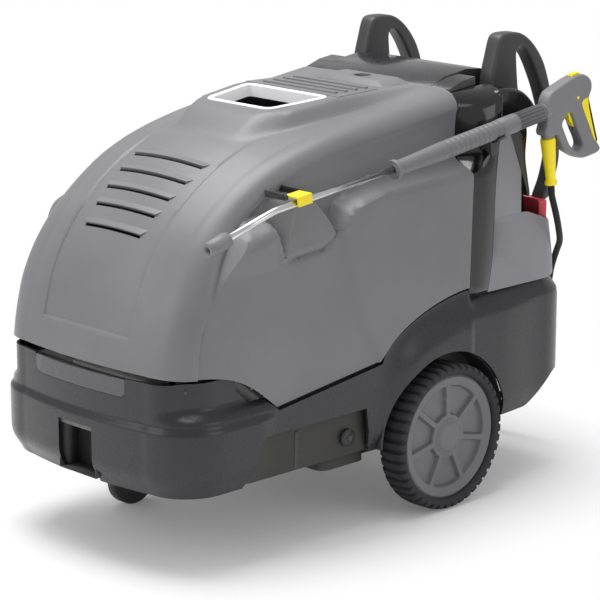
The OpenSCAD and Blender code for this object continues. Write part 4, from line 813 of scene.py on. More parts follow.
    def exhaust_cutter(self) -> bpy.types.Object:
        """Prism of the exhaust's trapezium, sloped with its frame."""
        rim = ExhaustFrame()
        plan, z = rim.plan(), np.array([-40.0, 40.0])[:, None]
        return capped_rings("exhaust_cut", rim.tilted(plan[None, :, 0], plan[None, :, 1], z))

    def shadow_gap_sheet(self) -> bpy.types.Object:
        """Dark sheet of painted shadow in the gap under the hood's lower edge: that edge moved
        inwards, carried straight down.

        Round the nose its top stays low, clear of the lip that swings back as the hood opens.
        """
        g = self.surface()
        edge = np.concatenate([g[::-1, 0], g[0, 1:-1], g[:, -1]])
        edge = edge[edge[:, 1] < self.rear - 20]
        nose = (1 - smooth(-600, -440, edge[:, 1]))[:, None]
        edge = edge * [self.shadow_gap_share, 1, 1] + self.shadow_gap_back * nose * [0, 1, 0]
        drop = np.stack([self.shadow_gap_rise - self.shadow_gap_fall * np.clip(3 * nose[:, 0], 0, 1),
                         -self.shadow_gap_fall + 0 * nose[:, 0]], 1)
        shadow_gap_sheet = sheet_mesh("hood_shadow_gap_sheet", edge[:, None] + drop[..., None] * [0, 0, 1])
        return walled(shadow_gap_sheet, self.shadow_gap_wall)

    def build(self) -> None:
        """Shell with its louvres and exhaust opening on the hood's body, and the dark sheet of
        painted shadow under it.
        """
        # black sheet under the hood's lower edge: painted shadow of the gap between hood and
        # chassis
        add(self.shadow_gap_sheet(), "machine", SLOTS["chassis"], BLACK_PLASTIC)
        obj = walled(sheet_mesh("hood_shell", self.surface(), flip=True), self.wall)
        louvres = [self.louvre(k) for k in range(len(self.louvre_z))]
        cut(obj, [slot for _, slot in louvres] + [self.exhaust_cutter()], 38)
        add(obj, "hood", SLOTS["hood"], HOOD_GREY, "hood")
        for blade, _ in louvres:
            add(bevelled(blade, 1.2), "hood", SLOTS["hood"], HOOD_GREY)


@dataclass
class ChassisShell:
    """Bumper, side skirts and rear wall in one moulding, with its wheel wells."""
    body_hw: float = 322.0
    wall: float = 6.0
    nose: float = 657.0
    bow: float = 18.0
    corner: float = 120.0
    rear_y: float = 620.0
    rear_corner: float = 110.0
    axle_y: float = 155.0
    wheel_r: float = 171.0
    shut_gap: float = 6
    arch_gap: float = 28
    skirt_z: float = 178.0
    cut_out_z: float = 285.0
    front_z: float = 428.0
    rear_z: float = 482.0
    tow_mouth: Tuple[float, float, float, float] = (60, -658, 190, 307)
    tow_depth: float = 52.0

    def outline(self) -> Array:
        """Half outline from above with outward directions: bowed front, arc, side, arc, rear."""
        cx, ry = self.body_hw - self.corner, self.rear_y - self.rear_corner
        cy = -self.nose + self.bow + self.corner
        x = np.linspace(0, cx, 26)[:-1]
        front = np.stack([x, -self.nose + self.bow * (x / cx) ** 2, 0 * x, 0 * x - 1], -1)
        a = np.radians(np.linspace(0, 90, 20))
        near = np.stack([cx + self.corner * np.sin(a), cy - self.corner * np.cos(a), np.sin(a),
                         -np.cos(a)], -1)
        y = np.concatenate([np.linspace(-480, -340, 36), np.linspace(-330, -110, 22),
                            np.linspace(-100, 505, 86)])
        side = np.stack([0 * y + self.body_hw, y, 0 * y + 1, 0 * y], -1)
        rx = self.body_hw - self.rear_corner
        back = np.stack([rx + self.rear_corner * np.cos(a), ry + self.rear_corner * np.sin(a),
                         np.cos(a), np.sin(a)], -1)
        x = np.linspace(rx, 0, 22)[1:]
        rear = np.stack([x, 0 * x + self.rear_y, 0 * x, 0 * x + 1], -1)
        return np.concatenate([front, near, side, back, rear])

    def top(self, y: Array) -> Array:
        """Height of the wall's upper edge, a gap below the hood's lower edge."""
        edge = HoodShell().lower_edge(y) - self.shut_gap
        side = np.minimum(edge, self.front_z + 400 * smooth(-300, 0, y))
        return blend(np.where(y < -461, self.front_z, side), self.rear_z, smooth(238, 242, y))

    def bottom(self, y: Array) -> Array:
        """Height of the lower edge: low at the bumper, up over the side cut-out, down round the
        wheel."""
        cut_up = blend(self.skirt_z, self.cut_out_z, smooth(-456, -404, y) ** 0.7)
        back_down = blend(self.cut_out_z, self.skirt_z, smooth(-94, -78, y))
        low = np.where(y < -92, cut_up, back_down)
        return low + 70 * smooth(440, 560, y)

    def swell(self, y: Array, z: Array, g: Array, top: Array) -> Array:
        """How far the wall stands off the outline: ledge in front, tucked bottom, fender and rear
        corner."""
        front = 1 - smooth(-420, -360, y)
        scoop = smooth(-640, -600, y) * (1 - smooth(-400, -350, y)) * smooth(342, 372, z)
        tuck = 1 - smooth(168, 240, z)
        fender = 20 * smooth(0, 90, top - z)
        rear = 16 * (1 - smooth(330, 520, y)) * (1 - smooth(430, 482, z))
        tucked = 26 * tuck ** 1.6 * blend(1, .5, smooth(-440, -400, y))
        behind = smooth(-60, 60, y) * blend(fender, rear, smooth(230, 242, y))
        step = 16 * np.clip((z - 446) / 36.0, 0, 1) * smooth(238, 262, y)
        return (8 * (1 - smooth(322, 338, z)) * front - 26 * scoop - tucked + behind
                - 11 * g * smooth(425, 482, z) - step)

    def surface(self) -> Array:
        """(rows, around, 3) grid: outline + direction * swell at heights between the two edges."""
        o = self.outline()
        f = np.linspace(0, 1, 64)[:, None]
        y = o[None, :, 1]
        low, top = self.bottom(y), self.top(y)
        z = blend(low, top, f)
        g = np.where(o[:, 3] > 0, 2 * np.abs(o[:, 2]) * o[:, 3], 0)[None, :]
        d = self.swell(y, z, g, top)
        half = np.stack([o[None, :, 0] + o[None, :, 2] * d, y + o[None, :, 3] * d, z], -1)
        return np.concatenate([half, half[:, -2:0:-1] * [-1, 1, 1]], 1)

    def disc(self, name: str, x0: float, x1: float, r: float) -> bpy.types.Object:
        """Cylinder across the machine at the axle, from x0 to x1."""
        place = Matrix.Translation((x0, self.axle_y, self.wheel_r))
        turn = place @ Matrix.Rotation(math.pi / 2, 4, "Y")
        return lathe(name, [(0.01, 0), (r, 0), (r, x1 - x0), (0.01, x1 - x0)], 96, place=turn)

    def slab(self, name: str, low: Sequence[float], high: Sequence[float]) -> bpy.types.Object:
        """Box between two corners, for cutting."""
        (x0, y0, z0), (x1, y1, z1) = low, high
        ring = np.array([(x0, y0), (x1, y0), (x1, y1), (x0, y1)], float)
        pts = np.stack([np.concatenate([ring, np.full((4, 1), z)], 1) for z in (z0, z1)])
        return capped_rings(name, pts)

    def flap_cutter(self) -> bpy.types.Object:
        """Prism of the flap's outline, its lower corners rounded to 15."""
        a = np.radians(np.linspace(180, 270, 8))
        left = np.stack([-136 + 15 * np.cos(a), 400 + 15 * np.sin(a)], -1)
        ring = np.concatenate([[(-151, 448)], left, left[::-1] * [-1, 1], [(151, 448)]])
        y = np.array([-705.0, -636.0])[:, None]
        pts = np.stack([ring[None, :, 0] + 0 * y, y + 0 * ring[None, :, 0],
                        ring[None, :, 1] + 0 * y], -1)
        return capped_rings("flap_cut", pts)

    def well(self, side: int) -> bpy.types.Object:
        """Wheel well: a drum open outwards, cut off level with the skirt."""
        r, x0, x1 = self.wheel_r + self.arch_gap, 264.0, 324.0
        profile = [(14.5, x0 - 6), (r + 6, x0 - 6), (r + 6, x1), (r, x1), (r, x0), (14.5, x0)]
        place = Matrix.Translation((0, self.axle_y, self.wheel_r))
        turn = place @ Matrix.Rotation(math.pi / 2, 4, "Y")
        obj = lathe(f"wheel_well_{side_name(side)}", profile, 96, place=turn)
        cut(obj, [self.slab("cut", (0, -100, -100), (400, 420, self.skirt_z))])
        if side < 0:
            obj.data.transform(Matrix.Scale(-1, 4, (1, 0, 0)))
            outward(obj)
        return obj

    def pocket(self) -> bpy.types.Object:
        """Closed pocket behind the towing eye's opening: a frame of four walls and a back."""
        half, front, low, high = self.tow_mouth
        mouth = np.array([(-half, front, low), (half, front, low), (half, front, high),
                          (-half, front, high)], float)
        back = mouth * [0.98, 1, 1] + [0, self.tow_depth, 0]
        faces = [(0, 1, 5, 4), (1, 2, 6, 5), (2, 3, 7, 6), (3, 0, 4, 7), (4, 5, 6, 7)]
        return walled(make_mesh("tow_pocket", np.concatenate([mouth, back]), faces), 3.0)

    def build(self) -> None:
        """Wall with its openings, the pocket and the two wells."""
        add(self.pocket(), "machine", SLOTS["chassis"], BLACK_PLASTIC)
        g = self.surface()
        faces = grid_faces(g.shape[0], g.shape[1], around=True)
        obj = walled(make_mesh("chassis_shell", g.reshape(-1, 3), faces), self.wall)
        tools = [self.flap_cutter(), self.slab("tow", (-56, -720, 118), (56, -615, 303)),
                 self.disc("arch_left", 262, 420, self.wheel_r + self.arch_gap),
                 self.disc("arch_right", -420, -262, self.wheel_r + self.arch_gap)]
        cut(obj, tools, 38)
        add(obj, "machine", SLOTS["chassis"], CHASSIS_GREY, "chassis")
        for side in (1, -1):
            add(self.well(side), "machine", SLOTS["chassis"], BLACK_PLASTIC, "chassis")


@dataclass
class Wheel:
    """Wheel of one side: tyre with chevron lugs and a dished rim with seven pockets."""
    side: int
    axle: Tuple[float, float] = (155.0, 171.0)
    radius: float = 171.0
    width: float = 74.0
    outer: float = 356.0
    lugs: int = 44
    pockets: int = 7

    def across(self, r: Array, a: Array, h: Array) -> Array:
        """Points from radius, angle and distance h from the machine's middle plane."""
        x = self.side * h
        return np.stack([x, self.axle[0] + r * np.cos(a), self.axle[1] + r * np.sin(a)], -1)

    def tyre(self) -> bpy.types.Object:
        """Closed profile turned about the axle; the tread drops between lugs by a smooth square
        wave, and the lugs' ends lap over the shoulders."""
        z0 = self.outer - self.width
        prof = np.array([(146, 9), (149, 4), (152, 2), (156, 1.5), (158, .6), (161, .2), (164, 1.2),
                         (167, 3.6), (169, 7), (170.2, 12), (170.8, 20), (171, 30), (171, 37),
                         (171, 44), (170.8, 54), (170.2, 62), (169, 67), (167, 70.4), (164, 72.8),
                         (161, 73.8), (158, 73.4), (156, 72.5), (152, 72), (149, 70), (146, 65)])
        at = np.linspace(0, len(prof) - 1, 73)
        p = spline(prof, at)
        n = self.lugs * 16
        a = np.linspace(0, 2 * np.pi, n, endpoint=False)[:, None]
        w = p[None, :, 1] / self.width
        skew = 0.22 * np.abs(w - 0.5)
        phase = (a * self.lugs / (2 * np.pi) + skew) % 1.0
        lug = smooth(.30, .36, phase) * (1 - smooth(.94, 1.0, phase))
        tread = smooth(155, 165, p[None, :, 0])
        r = p[None, :, 0] - 6.5 * (1 - lug) * tread
        pts = self.across(r, a + 0 * r, z0 + p[None, :, 1] + 0 * r)
        obj = make_mesh(f"tyre_{self.name}_body", pts.reshape(-1, 3),
                        grid_faces(n, len(p), True, True), 40)
        return outward(obj)

    @property
    def name(self) -> str:
        """left or right."""
        return side_name(self.side)

    def rim(self) -> bpy.types.Object:
        """Polar grid of the dish: height falls in a pocket where both the radial and the angular
        smooth steps are 1; the back is flat, and stays 9 behind the dish at the pockets."""
        rr = np.unique(np.concatenate([np.linspace(0, 34, 12), np.linspace(34, 48, 14),
                                       np.linspace(48, 58, 12), np.linspace(58, 112, 20),
                                       np.linspace(112, 124, 14), np.linspace(124, 145.6, 20)]))
        n = self.pockets * 48
        a = np.linspace(0, 2 * np.pi, n, endpoint=False)[:, None]
        r = rr[None, :]
        out = self.outer - 10
        face = np.interp(rr, [0, 30, 33, 36, 44, 60, 118, 134, 140, 145.6],
                         [2, 1.4, 1, -2, -5, -5.6, -7, -2, 0, -4]) + out
        k = (a / (2 * np.pi) * self.pockets + 0.25) % 1.0
        gap, soft = (d / np.maximum(r, 20) * self.pockets / (2 * np.pi) for d in (5.5, 4.0))
        inside = smooth(0, 1, (np.minimum(k, 1 - k) - gap) / soft)
        pocket = smooth(50, 55, r) * (1 - smooth(115, 121, r)) * inside
        bead = np.exp(-((r - 39.5) / 1.6) ** 2) * 1.2
        h = face[None, :] - 10 * pocket + bead
        front = self.across(r + 0 * h, a + 0 * h, h)
        back = self.across(r + 0 * h, a + 0 * h, np.minimum(h - 9, out - 22) + 0 * h)
        back[:, -1] = self.across(r[:, -1] + 0 * a[:, 0], a[:, 0], 0 * a[:, 0] + out - 60)
        pts = np.concatenate([front, back[:, ::-1]], 1)
        obj = make_mesh(f"rim_{self.name}_dish", pts.reshape(-1, 3),
                        grid_faces(n, pts.shape[1], True, False), 32)
        close_round(obj, n, pts.shape[1])
        return obj

    def build(self) -> None:
        """Tyre and rim on the wheel's body."""
        body = f"wheel_{self.name}"
        add(self.tyre(), body, SLOTS[f"tyre_{self.name}"], TYRE_RUBBER, f"tyre_{self.name}")
        add(self.rim(), body, SLOTS[f"rim_{self.name}"], RIM_GREY, f"rim_{self.name}")


def close_round(obj: bpy.types.Object, around: int, cols: int) -> None:
    """Joins the first and last row of a turned grid and welds its poles, then points faces
    outwards."""
    bm = bmesh.new()
    bm.from_mesh(obj.data)
    bm.verts.ensure_lookup_table()
    for j in range(cols - 1):
        ids = [(around - 1) * cols + j, (around - 1) * cols + j + 1, j + 1, j]
        bm.faces.new([bm.verts[i] for i in ids])
    bmesh.ops.remove_doubles(bm, verts=bm.verts, dist=1e-5)
    bmesh.ops.recalc_face_normals(bm, faces=bm.faces)
    bm.to_mesh(obj.data)
    bm.free()
    shade(obj, 32)


@dataclass
class Hose:
    """High-pressure hose of 10 m: from the outlet behind the machine to a coil on the floor and
    up to the gun."""
    radius: float = 7.75
    centre: Tuple[float, float] = (-430.0, 825.0)
    pitch: float = 16.2
    turns: float = 10.5
    inner: float = 79.5
    start: Tuple[float, float, float] = (349.0, 486.2, 714.6)
    drop: Tuple = ((349, 490, 686), (345, 511, 640), (325, 546, 595), (285, 598, 552),
                   (240, 640, 512), (205, 664, 460), (180, 680, 390), (150, 690, 300),
                   (100, 694, 190), (20, 690, 90), (-90, 680, 30), (-200, 668, 12))
    back: Tuple = ((-315, 982, 36), (-214, 950, 92), (-130, 885, 180), (-75, 805, 288),
                   (-45, 733, 360))
    outlet: Tuple[float, float, float] = (-40.0, 654.6, 380.0)
    gun_way: Tuple[float, float] = (0.1439, -0.9896)
    lead: float = 16.0
    coil_lead: float = 15.5

    def coil(self) -> Array:
        """Spiral inwards on the floor, then outwards on top of itself: radius inner + pitch *
        |turns left|."""
        half = self.turns * 180
        a = np.arange(0, self.turns * 360 + 1, 7.5)
        r = self.inner + self.pitch * np.abs(a - half) / 360
        z = self.radius + .15 + self.pitch * smooth(-90, 90, a - half)
        q = np.radians(a)
        return np.stack([self.centre[0] - r * np.sin(q), self.centre[1] - r * np.cos(q), z], -1)

    def path(self) -> Array:
        """Whole centre line from the outlet to the gun."""
        coil = self.coil()
        a, b = (coil[k] + [self.coil_lead, 0, 0] for k in (0, -1))
        x, y, z = self.start
        below = (x, y + self.lead * self.gun_way[0], z + self.lead * self.gun_way[1])
        down = np.array([self.start, below, *self.drop, a + [self.lead, 0, 0], a])
        x, y, z = self.outlet
        behind = (x, y + self.lead, z)
        up = np.array([b, b + [self.lead, 0, 0], *self.back, behind, self.outlet])
        fall = spline(down, np.linspace(0, len(down) - 1, 10 * len(down)))
        rise = spline(up, np.linspace(0, len(up) - 1, 10 * len(up)))
        return np.concatenate([fall, coil, rise])[::-1]

    def build(self) -> None:
        """Tube with its cover's fine wrap; its length is logged."""
        path = self.path()
        keep = np.concatenate([[True], np.linalg.norm(np.diff(path, axis=0), axis=1) > 1.0])
        path = path[keep]
        obj = swept("pressure_hose", path, self.radius, 18, (0.31, 0.52, 0.79))
        add(obj, "machine", SLOTS["hose_drop"], HOSE_RUBBER, "hose_drop", "hose_coil",
            "hose_return")
        length = float(np.linalg.norm(np.diff(path, axis=0), axis=1).sum()) * MM
        LOG.info("hose length %.3f m", length)


def moved_in(loop: Array, by: float) -> Array:
    """Closed 2-D loop moved inward by a distance along its point normals, which are the central
    differences of its neighbours turned by a right angle."""
    t = unit(np.roll(loop, -1, 0) - np.roll(loop, 1, 0))
    x, y = loop.T
    turn = np.sign(np.sum(x * np.roll(y, -1) - np.roll(x, -1) * y))
    return loop + by * turn * np.stack([-t[:, 1], t[:, 0]], 1)


def loop_through(points: Sequence[Sequence[float]], count: int) -> Array:
    """Evenly spaced points of a closed smooth curve through 2-D points."""
    pts = np.array([points[-2], points[-1], *points, points[0], points[1], points[2]], float)
    fine = spline(pts, np.linspace(2, len(points) + 2, 40 * len(points)))
    run = run_along(fine)
    at = np.linspace(0, run[-1], count, endpoint=False)
    return np.stack([np.interp(at, run, fine[:, k]) for k in (0, 1)], 1)


def pillow(name: str, loop: Array, middle: float, half: float, round_: float,
           hole: bool = False) -> bpy.types.Object:
    """Flat piece square to X with rounded rims: the (y, z) loop drawn in by round_ * (1 - cos a)
    where the half width is half - round_ + round_ * sin a; as a hole's cutter it is let out
    instead, and longer."""
    a = np.radians([0, 25, 50, 72, 90])
    wide, inset = half - round_ + round_ * np.sin(a), round_ * (1 - np.cos(a))
    if hole:
        wide, inset = np.append(wide, half + 6), -np.append(inset, inset[-1])
    rings = [np.column_stack([np.full(len(loop), middle + side * w), moved_in(loop, d)])
             for side, order in ((-1, slice(None, None, -1)), (1, slice(None)))
             for w, d in zip(wide[order], inset[order])]
    return capped_rings(name, np.array(rings), 40.0)


@dataclass
class Gun:
    """Trigger gun: a rounded grey shell round the trigger's opening, with a yellow insert in the
    handle's back."""
    lance_x: float = 349.0
    half: float = 17.2
    inset: float = 3.0
    shell: Tuple = ((446, 909), (459, 934), (483, 945.5), (508, 954), (530, 961), (555, 967),
                    (571, 968), (585, 964.5), (598, 957), (606.5, 947), (609.5, 935), (608, 922),
                    (602, 911), (601, 893), (610, 864), (620.5, 834), (630, 805), (640, 793),
                    (645.5, 784), (643, 775), (632, 769), (610, 765.5), (588, 763), (570, 764.5),
                    (554, 771), (530, 783.5), (511, 795), (498, 812), (487, 828), (470, 829),
                    (448, 831), (441, 845), (447, 866))
    opening: Tuple = ((526, 878), (515, 868), (506, 856), (510, 845), (519, 829), (531, 809),
                      (543, 796.5), (558, 788), (573, 791), (577, 799), (571, 813), (560.5, 830),
                      (550, 849), (541, 866), (536, 875))
    insert: Tuple = ((597, 911), (586, 912), (574, 908.5), (566.5, 900), (567.5, 890), (579, 867),
                     (594, 841), (606, 818), (616, 801.5), (626, 797), (631.5, 799), (627, 812),
                     (619.5, 833), (609, 863), (600, 892))
    inlet: Tuple[float, float] = (470.0, 826.0)

    def build(self) -> None:
        """Shell with its opening, the slots of the trigger and the catch, the inlet stub and the
        insert."""
        x = self.lance_x
        shell = pillow("gun_shell", moved_in(loop_through(self.shell, 150), self.inset), x,
                       self.half, 6.0)
        hole = moved_in(loop_through(self.opening, 90), -self.inset * 0.6)
        box = np.array([(-7.8, 520, 852), (7.8, 520, 852), (7.8, 598, 852), (-7.8, 598, 852)])
        box += [x, 0, 0]
        slot = capped_rings("gun_slot", np.array([box, box + [0, 0, 80]]))
        pin = swept("gun_pin", np.array([(x - 30, 556, 912), (x + 30, 556, 912.0)]), 4.3, 24)
        top = np.array([(-7.4, -.6), (7.4, -.6), (7.4, 32), (-7.4, 32)])
        c, d = math.cos(math.radians(8)), math.sin(math.radians(8))
        catch = np.array([[(x + u, 544 + v * c - w * d, 962 + v * d + w * c) for u, v in top]
                          for w in (-8.3, 20)])
        cut(shell, [pillow("gun_hole", hole, x, self.half, 6.0, hole=True), slot, pin,
                    capped_rings("gun_catch", catch)], 40, "MANIFOLD")
        add(shell, "machine", SLOTS["gun_body"], GUN_GREY, "gun_body")
        tail = pillow("gun_insert", moved_in(loop_through(self.insert, 90), self.inset * 0.4), x,
                      self.half + 0.9, 6.0)
        add(tail, "machine", SLOTS["trigger"], YELLOW)
        way = unit(np.array([0, 16.0, -110.0]))
        foot = np.array([x, *self.inlet])
        add(swept("gun_inlet", np.array([foot - 30 * way, foot - 3 * way]), 16.0, 32, (1, 0, 0)),
            "machine", SLOTS["gun_body"], GUN_GREY)
        add(swept("gun_nipple", np.array([foot - 4 * way, foot - 0.1 * way]), 12.5, 32, (1, 0, 0)),
            "machine", SLOTS["gun_body"], BRASS)
        along = unit(np.array([0, 486.0, 67.5]))
        start = np.array([x, 446.0, 889.2])
        add(swept("gun_collar", np.array([start + 0.4 * along, start + 16 * along]), 19.0, 40,
                  (1, 0, 0)), "machine", SLOTS["gun_body"], GUN_GREY)


@dataclass
class ExhaustFrame:
    """White frame in the hood's exhaust opening: one section swept round a trapezium with rounded
    corners."""
    front: Tuple[float, float] = (98.0, -180.0)
    rear: Tuple[float, float] = (127.0, -30.0)
    top_z: float = 950.0
    tilt: float = 4.5
    corner: float = 20.0
    section: Tuple = ((-4, -24), (-4, 3.2), (-2.8, 4.4), (7.4, 4.4), (8.6, 3.4), (8.6, 1.8),
                      (-.5, 1.2), (-.5, -24))

    def plan(self) -> Array:
        """Corners of the trapezium from above, before it's tilted."""
        (fw, fy), (rw, ry) = self.front, self.rear
        return np.array([(-fw, fy), (fw, fy), (rw, ry), (-rw, ry)])

    def tilted(self, x: Array, y: Array, up: Array) -> Array:
        """Points of the frame turned by the tilt about its rear edge."""
        k, ry = math.radians(self.tilt), self.rear[1]
        return np.stack([x + 0 * up, ry + (y - ry) * math.cos(k) - up * math.sin(k),
                         self.top_z + (y - ry) * math.sin(k) + up * math.cos(k)], -1)

    def build(self) -> None:
        """Corners are quadratic curves b(t) = (1-t)^2 A + 2t(1-t) V + t^2 B."""
        v = self.plan()
        a = v + self.corner * unit(np.roll(v, 1, 0) - v)
        b = v + self.corner * unit(np.roll(v, -1, 0) - v)
        t = np.linspace(0, 1, 9)[:, None]
        loop = np.concatenate([(1 - t) ** 2 * a[k] + 2 * t * (1 - t) * v[k] + t ** 2 * b[k]
                               for k in range(4)])
        grid = np.array([self.tilted(*moved_in(loop, -out).T, up) for out, up in self.section])
        faces = grid_faces(*grid.shape[:2], around=True, closed=True)
        add(outward(make_mesh("exhaust_rim", grid.reshape(-1, 3), faces, 30.0)), "hood",
            SLOTS["exhaust_frame"], RIM_WHITE, "exhaust_frame")


@dataclass
class PushHandle:
    """One of the two push handles: a broad front leg, a bar over the top and a slim rear leg."""
    side: int
    x: float = 207.0
    half: float = 21.0
    outline: Tuple = ((402, 880), (405, 925), (411, 966), (423, 1008), (434, 1042), (446, 1055),
                      (476, 1057), (510, 1053), (538, 1039), (567, 1014), (594, 978), (613, 934),
                      (630, 880), (650, 806), (660, 745), (646, 690), (624, 645.6), (602, 646.2),
                      (624, 692), (638, 746), (630, 796), (606, 866), (588, 912), (570, 948),
                      (549, 984), (527, 1011), (510, 1020), (498, 1012), (498, 985), (504, 930),
                      (510, 880))

    def build(self) -> None:
        """The outline's pillow, on its side of the machine."""
        name = side_name(self.side)
        obj = pillow(f"push_handle_{name}", loop_through(self.outline, 220), self.side * self.x,
                     self.half, 8.0)
        add(obj, "machine", SLOTS[f"handle_{name}"], HANDLE_GREY, f"handle_{name}")


@dataclass
class Column:
    """Black column of one side between the hood and the rear body, with its shoulder and rear
    post."""
    side: int
    foot: float = 482.6
    inner: float = 236.0
    rear: Tuple = ((236, 374, 953), (272, 372, 950), (300, 366, 934), (312, 352, 893),
                   (317, 343, 845), (319, 332, 800), (320, 325, 701), (320, 319, 561),
                   (320, 305, 482.6))
    shoulder: Tuple = ((346, 872), (348, 930), (364, 945), (400, 945), (440, 932), (474, 906),
                       (492, 878), (484, 864), (420, 862), (358, 862))
    post: Tuple = ((384, 824), (375, 846), (380, 858), (400, 861), (424, 858), (431, 840),
                   (428, 783), (438, 730), (446, 694), (440, 690), (431, 712), (415, 751))

    def build(self) -> None:
        """Loft from the hood's rear edge A to the column's own rear edge B: y and z run straight
        from A to B, x by 1 - (1 - t)^2 with a swell of 5 sin(pi t)."""
        row = HoodShell().surface()[-1]
        row = row[(row[:, 0] > self.inner) & (row[:, 2] > self.foot - 12)]
        count = 90
        run = run_along(row)
        front = np.stack([np.interp(np.linspace(0, run[-1], count), run, row[:, k])
                          for k in range(3)], 1)
        front[:, 1] += 2.5
        front[:, 0] -= 1.0
        front[-1, 2] = self.foot
        back = even_spline(self.rear, count)
        t = np.linspace(0, 1, 26)[None, :]
        a, b = front[:, None], back[:, None]
        grid = a + (b - a) * t[..., None]
        grid[..., 0] = a[..., 0] + (b - a)[..., 0] * (1 - (1 - t) ** 2) + 5 * np.sin(math.pi * t)
        grid *= [self.side, 1, 1]
        name = side_name(self.side)
        obj = walled(sheet_mesh(f"column_{name}_shell", grid, 40, flip=self.side > 0), 3.0)
        add(obj, "machine", SLOTS[f"column_{name}"], COLUMN_BLACK, f"column_{name}")
        for part, loop, middle, half, soft in (("shoulder", self.shoulder, 264.0, 36.0, 10.0),
                                               ("post", self.post, 311.0, 9.0, 2.0)):
            piece = pillow(f"column_{name}_{part}", loop_through(loop, 90), self.side * middle,
                           half, soft)
            add(piece, "machine", SLOTS[f"column_{name}"], COLUMN_BLACK, f"column_{name}")


class Studio:
    """Camera, lamps, floor and background: FOCAL and FRAME are in pixels, SENSOR and FLOOR_RADIUS
    in millimetres, the rest in metres."""

    EYE = (4.115, -3.956, 1.901)
    FORWARD = (-0.698, 0.673, -0.245)
    AIM = (0, 0, .5)
    FOCAL = 2541.0
    FRAME = 600.0
    SENSOR = 36.0
    SHADOW_OVAL = (0.46, 0.84)
    FLOOR_RADIUS = 14000

    def camera(self) -> None:
        """Camera with the calibrated place, direction and field of view."""
        data = bpy.data.cameras.new("view")
        data.lens, data.sensor_width = self.FOCAL / self.FRAME * self.SENSOR, self.SENSOR
        data.clip_end = 60.0
        cam = bpy.data.objects.new("view", data)
        fwd = Vector(self.FORWARD).normalized()
        right = fwd.cross(Vector((0, 0, 1))).normalized()
        up = right.cross(fwd)
        m = Matrix((right, up, -fwd)).transposed().to_4x4()
        m.translation = Vector(self.EYE)
        cam.matrix_world = m
        bpy.context.scene.collection.objects.link(cam)
        bpy.context.scene.camera = cam

    def lamp(self, name: str, at: Sequence[float], size: float, power: float) -> None:
        """Square area lamp at a place, aimed at the middle of the machine."""
        data = bpy.data.lights.new(name, "AREA")
        data.size, data.energy = size, power
        obj = bpy.data.objects.new(name, data)
        obj.location = at
        obj.rotation_euler = (Vector(self.AIM) - Vector(at)).to_track_quat("-Z", "Y").to_euler()
        bpy.context.scene.collection.objects.link(obj)

    def world(self) -> None:
        """White to the camera, directly or through clear pieces, and a softer white as light."""
        world = bpy.data.worlds.new("studio")
        bpy.context.scene.world = world
        world.use_nodes = True
        g = Graph(world.node_tree)
        world.node_tree.nodes.clear()
        path = g.node("ShaderNodeLightPath")
        seen = g.maths("MAXIMUM", path.outputs["Is Camera Ray"],
                       path.outputs["Is Transmission Ray"])
        light = g.node("ShaderNodeBackground", Color=(1, 1, 1, 1), Strength=0.62)
        white = g.node("ShaderNodeBackground", Color=(1, 1, 1, 1), Strength=1.0)
        mixer = g.node("ShaderNodeMixShader")
        out = g.node("ShaderNodeOutputWorld")
        g.join(seen, mixer.inputs[0])
        g.join(light.outputs[0], mixer.inputs[1])
        g.join(white.outputs[0], mixer.inputs[2])
        g.join(mixer.outputs[0], out.inputs[0])

    def floor(self) -> None:
        """Pale floor: a wide disc that keeps the shadow, partly lifted to white for the camera."""
        a = np.linspace(0, 2 * np.pi, 96, endpoint=False)
        r = self.FLOOR_RADIUS
        ring = np.stack([r * np.cos(a), r * np.sin(a), 0 * a - 0.2], -1)
        obj = make_mesh("studio_floor", ring, [range(96)])
        material = bpy.data.materials.new("floor")
        material.use_nodes = True
        g = Graph(material.node_tree)
        bsdf = material.node_tree.nodes["Principled BSDF"]
        bsdf.inputs["Base Color"].default_value = (0.9, 0.9, 0.9, 1)
        bsdf.inputs["Roughness"].default_value = 0.9
        glow = g.node("ShaderNodeEmission", Color=(1, 1, 1, 1), Strength=1.0)
        mixer = g.node("ShaderNodeMixShader")
        path = g.node("ShaderNodeLightPath")
        far = g.node("ShaderNodeVectorMath", operation="LENGTH")
        oval = g.node("ShaderNodeVectorMath", operation="MULTIPLY")
        oval.inputs[1].default_value = (*(1 / half for half in self.SHADOW_OVAL), 0)
        g.join(g.node("ShaderNodeTexCoord").outputs["Object"], oval.inputs[0])
        g.join(oval.outputs["Vector"], far.inputs[0])
        share = g.ramp(far.outputs["Value"], 0.8, 1.7, 0.1, 1.0)
        g.join(g.maths("MULTIPLY", path.outputs["Is Camera Ray"], share), mixer.inputs[0])
        g.join(bsdf.outputs[0], mixer.inputs[1])
        g.join(glow.outputs[0], mixer.inputs[2])
        g.join(mixer.outputs[0], material.node_tree.nodes["Material Output"].inputs[0])
        obj.data.materials.append(material)

    def build(self) -> None:
        """Everything that isn't the object."""
        bpy.context.scene.view_settings.view_transform = "Standard"
        self.camera()
        self.world()
        self.floor()
        self.lamp("top_light", (-0.6, -0.3, 4.2), 3.0, 168)
        self.lamp("front_light", (-1.2, -4.2, 2.2), 2.6, 38)
        self.lamp("side_light", (4.6, 0.8, 2.2), 2.4, 26)


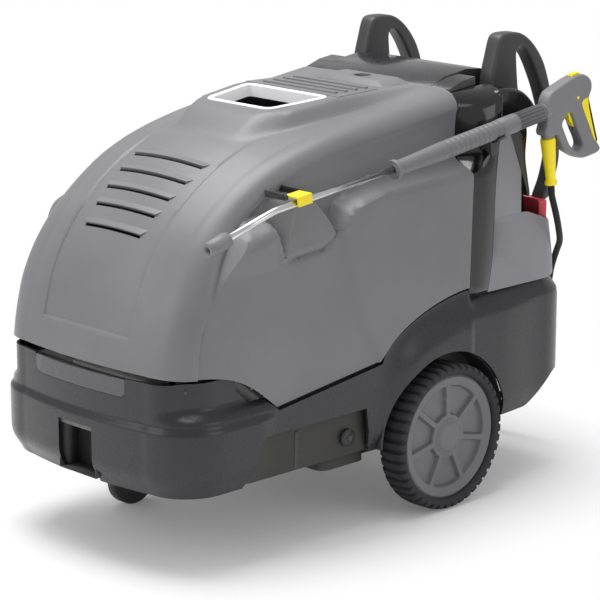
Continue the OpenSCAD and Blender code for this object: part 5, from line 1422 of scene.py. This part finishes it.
SKINS = {"deck": (SHEET, 0), "rear_body": (SIDE_GREY, 0), "side_panel_left": (SIDE_GREY, 1.5),
         "side_panel_right": (SIDE_GREY, 1.5), "console": (CONSOLE_BLACK, 3.0),
         "control_panel": (FACE_GREY, 0.8), "rear_marker_left": (RED_LENS, 1.2),
         "rear_marker_right": (RED_LENS, 1.2), "main_switch": (BLACK_PLASTIC, 0),
         "dosing_knob": (BLACK_PLASTIC, 0), "pressure_gauge": (DIAL_WHITE, 0),
         "indicator_lamps": (GREEN_LENS, 0), "top_cover": (HOOD_GREY, 1.0),
         "hood_latch": (BLACK_PLASTIC, 0.6), "hood_brackets": (BLACK_PLASTIC, 0),
         "lance_catch": (YELLOW, 1.0), "front_flap": (FLAP_GREY, 0), "boiler": (BOILER, 0),
         "boiler_lid": (BOILER, 0), "exhaust_stack": (BOILER, 0), "burner_blower": (MOTOR_PAINT, 0),
         "motor": (MOTOR_PAINT, 0), "pump": (BRASS, 0), "float_tank": (CLEAR_TANK, 2.0),
         "detergent_tank": (CLEAR_TANK, 2.0), "detergent_cap": (BLUE_CAP, 0),
         "fuel_tank": (TANK_BLACK, 3.0), "fuel_cap": (RED_CAP, 0), "tank_plug": (BLACK_PLASTIC, 0),
         "electrical_box": (BOX_PAINT, 1.5), "axle": (ZINC, 0), "castor_fork": (ZINC, 0),
         "castor_wheel": (BLACK_PLASTIC, 0), "castor_brake": (RED_CAP, 0),
         "water_inlet": (BRASS, 0), "pressure_outlet": (BRASS, 0),
         "cable_gland": (BLACK_PLASTIC, 0), "lance_rest": (BLACK_PLASTIC, 0.8),
         "lance_tube": (STEEL, 0), "nozzle_sleeve": (NOZZLE_GREY, 0), "lance_grip": (GRIP_GREY, 0),
         "regulator_sleeve": (GRIP_GREY, 0), "safety_catch": (YELLOW, 0.6),
         "trigger": (YELLOW, 1.0), "bend_protector": (YELLOW, 0)}


def main() -> None:
    """Builds the studio and the hose first, then the object from its big shells to its small
    pieces."""
    logging.basicConfig(level=logging.INFO, format="%(message)s")
    build_effects()
    Studio().build()
    Hose().build()
    HoodShell().build()
    ChassisShell().build()
    for side in (1, -1):
        Wheel(side).build()
        Column(side).build()
        PushHandle(side).build()
    Gun().build()
    ExhaustFrame().build()
    for node, (finish, width) in SKINS.items():
        if node in frame["nodes"]:
            skin(node, finish, width)


if __name__ == "__main__":
    main()
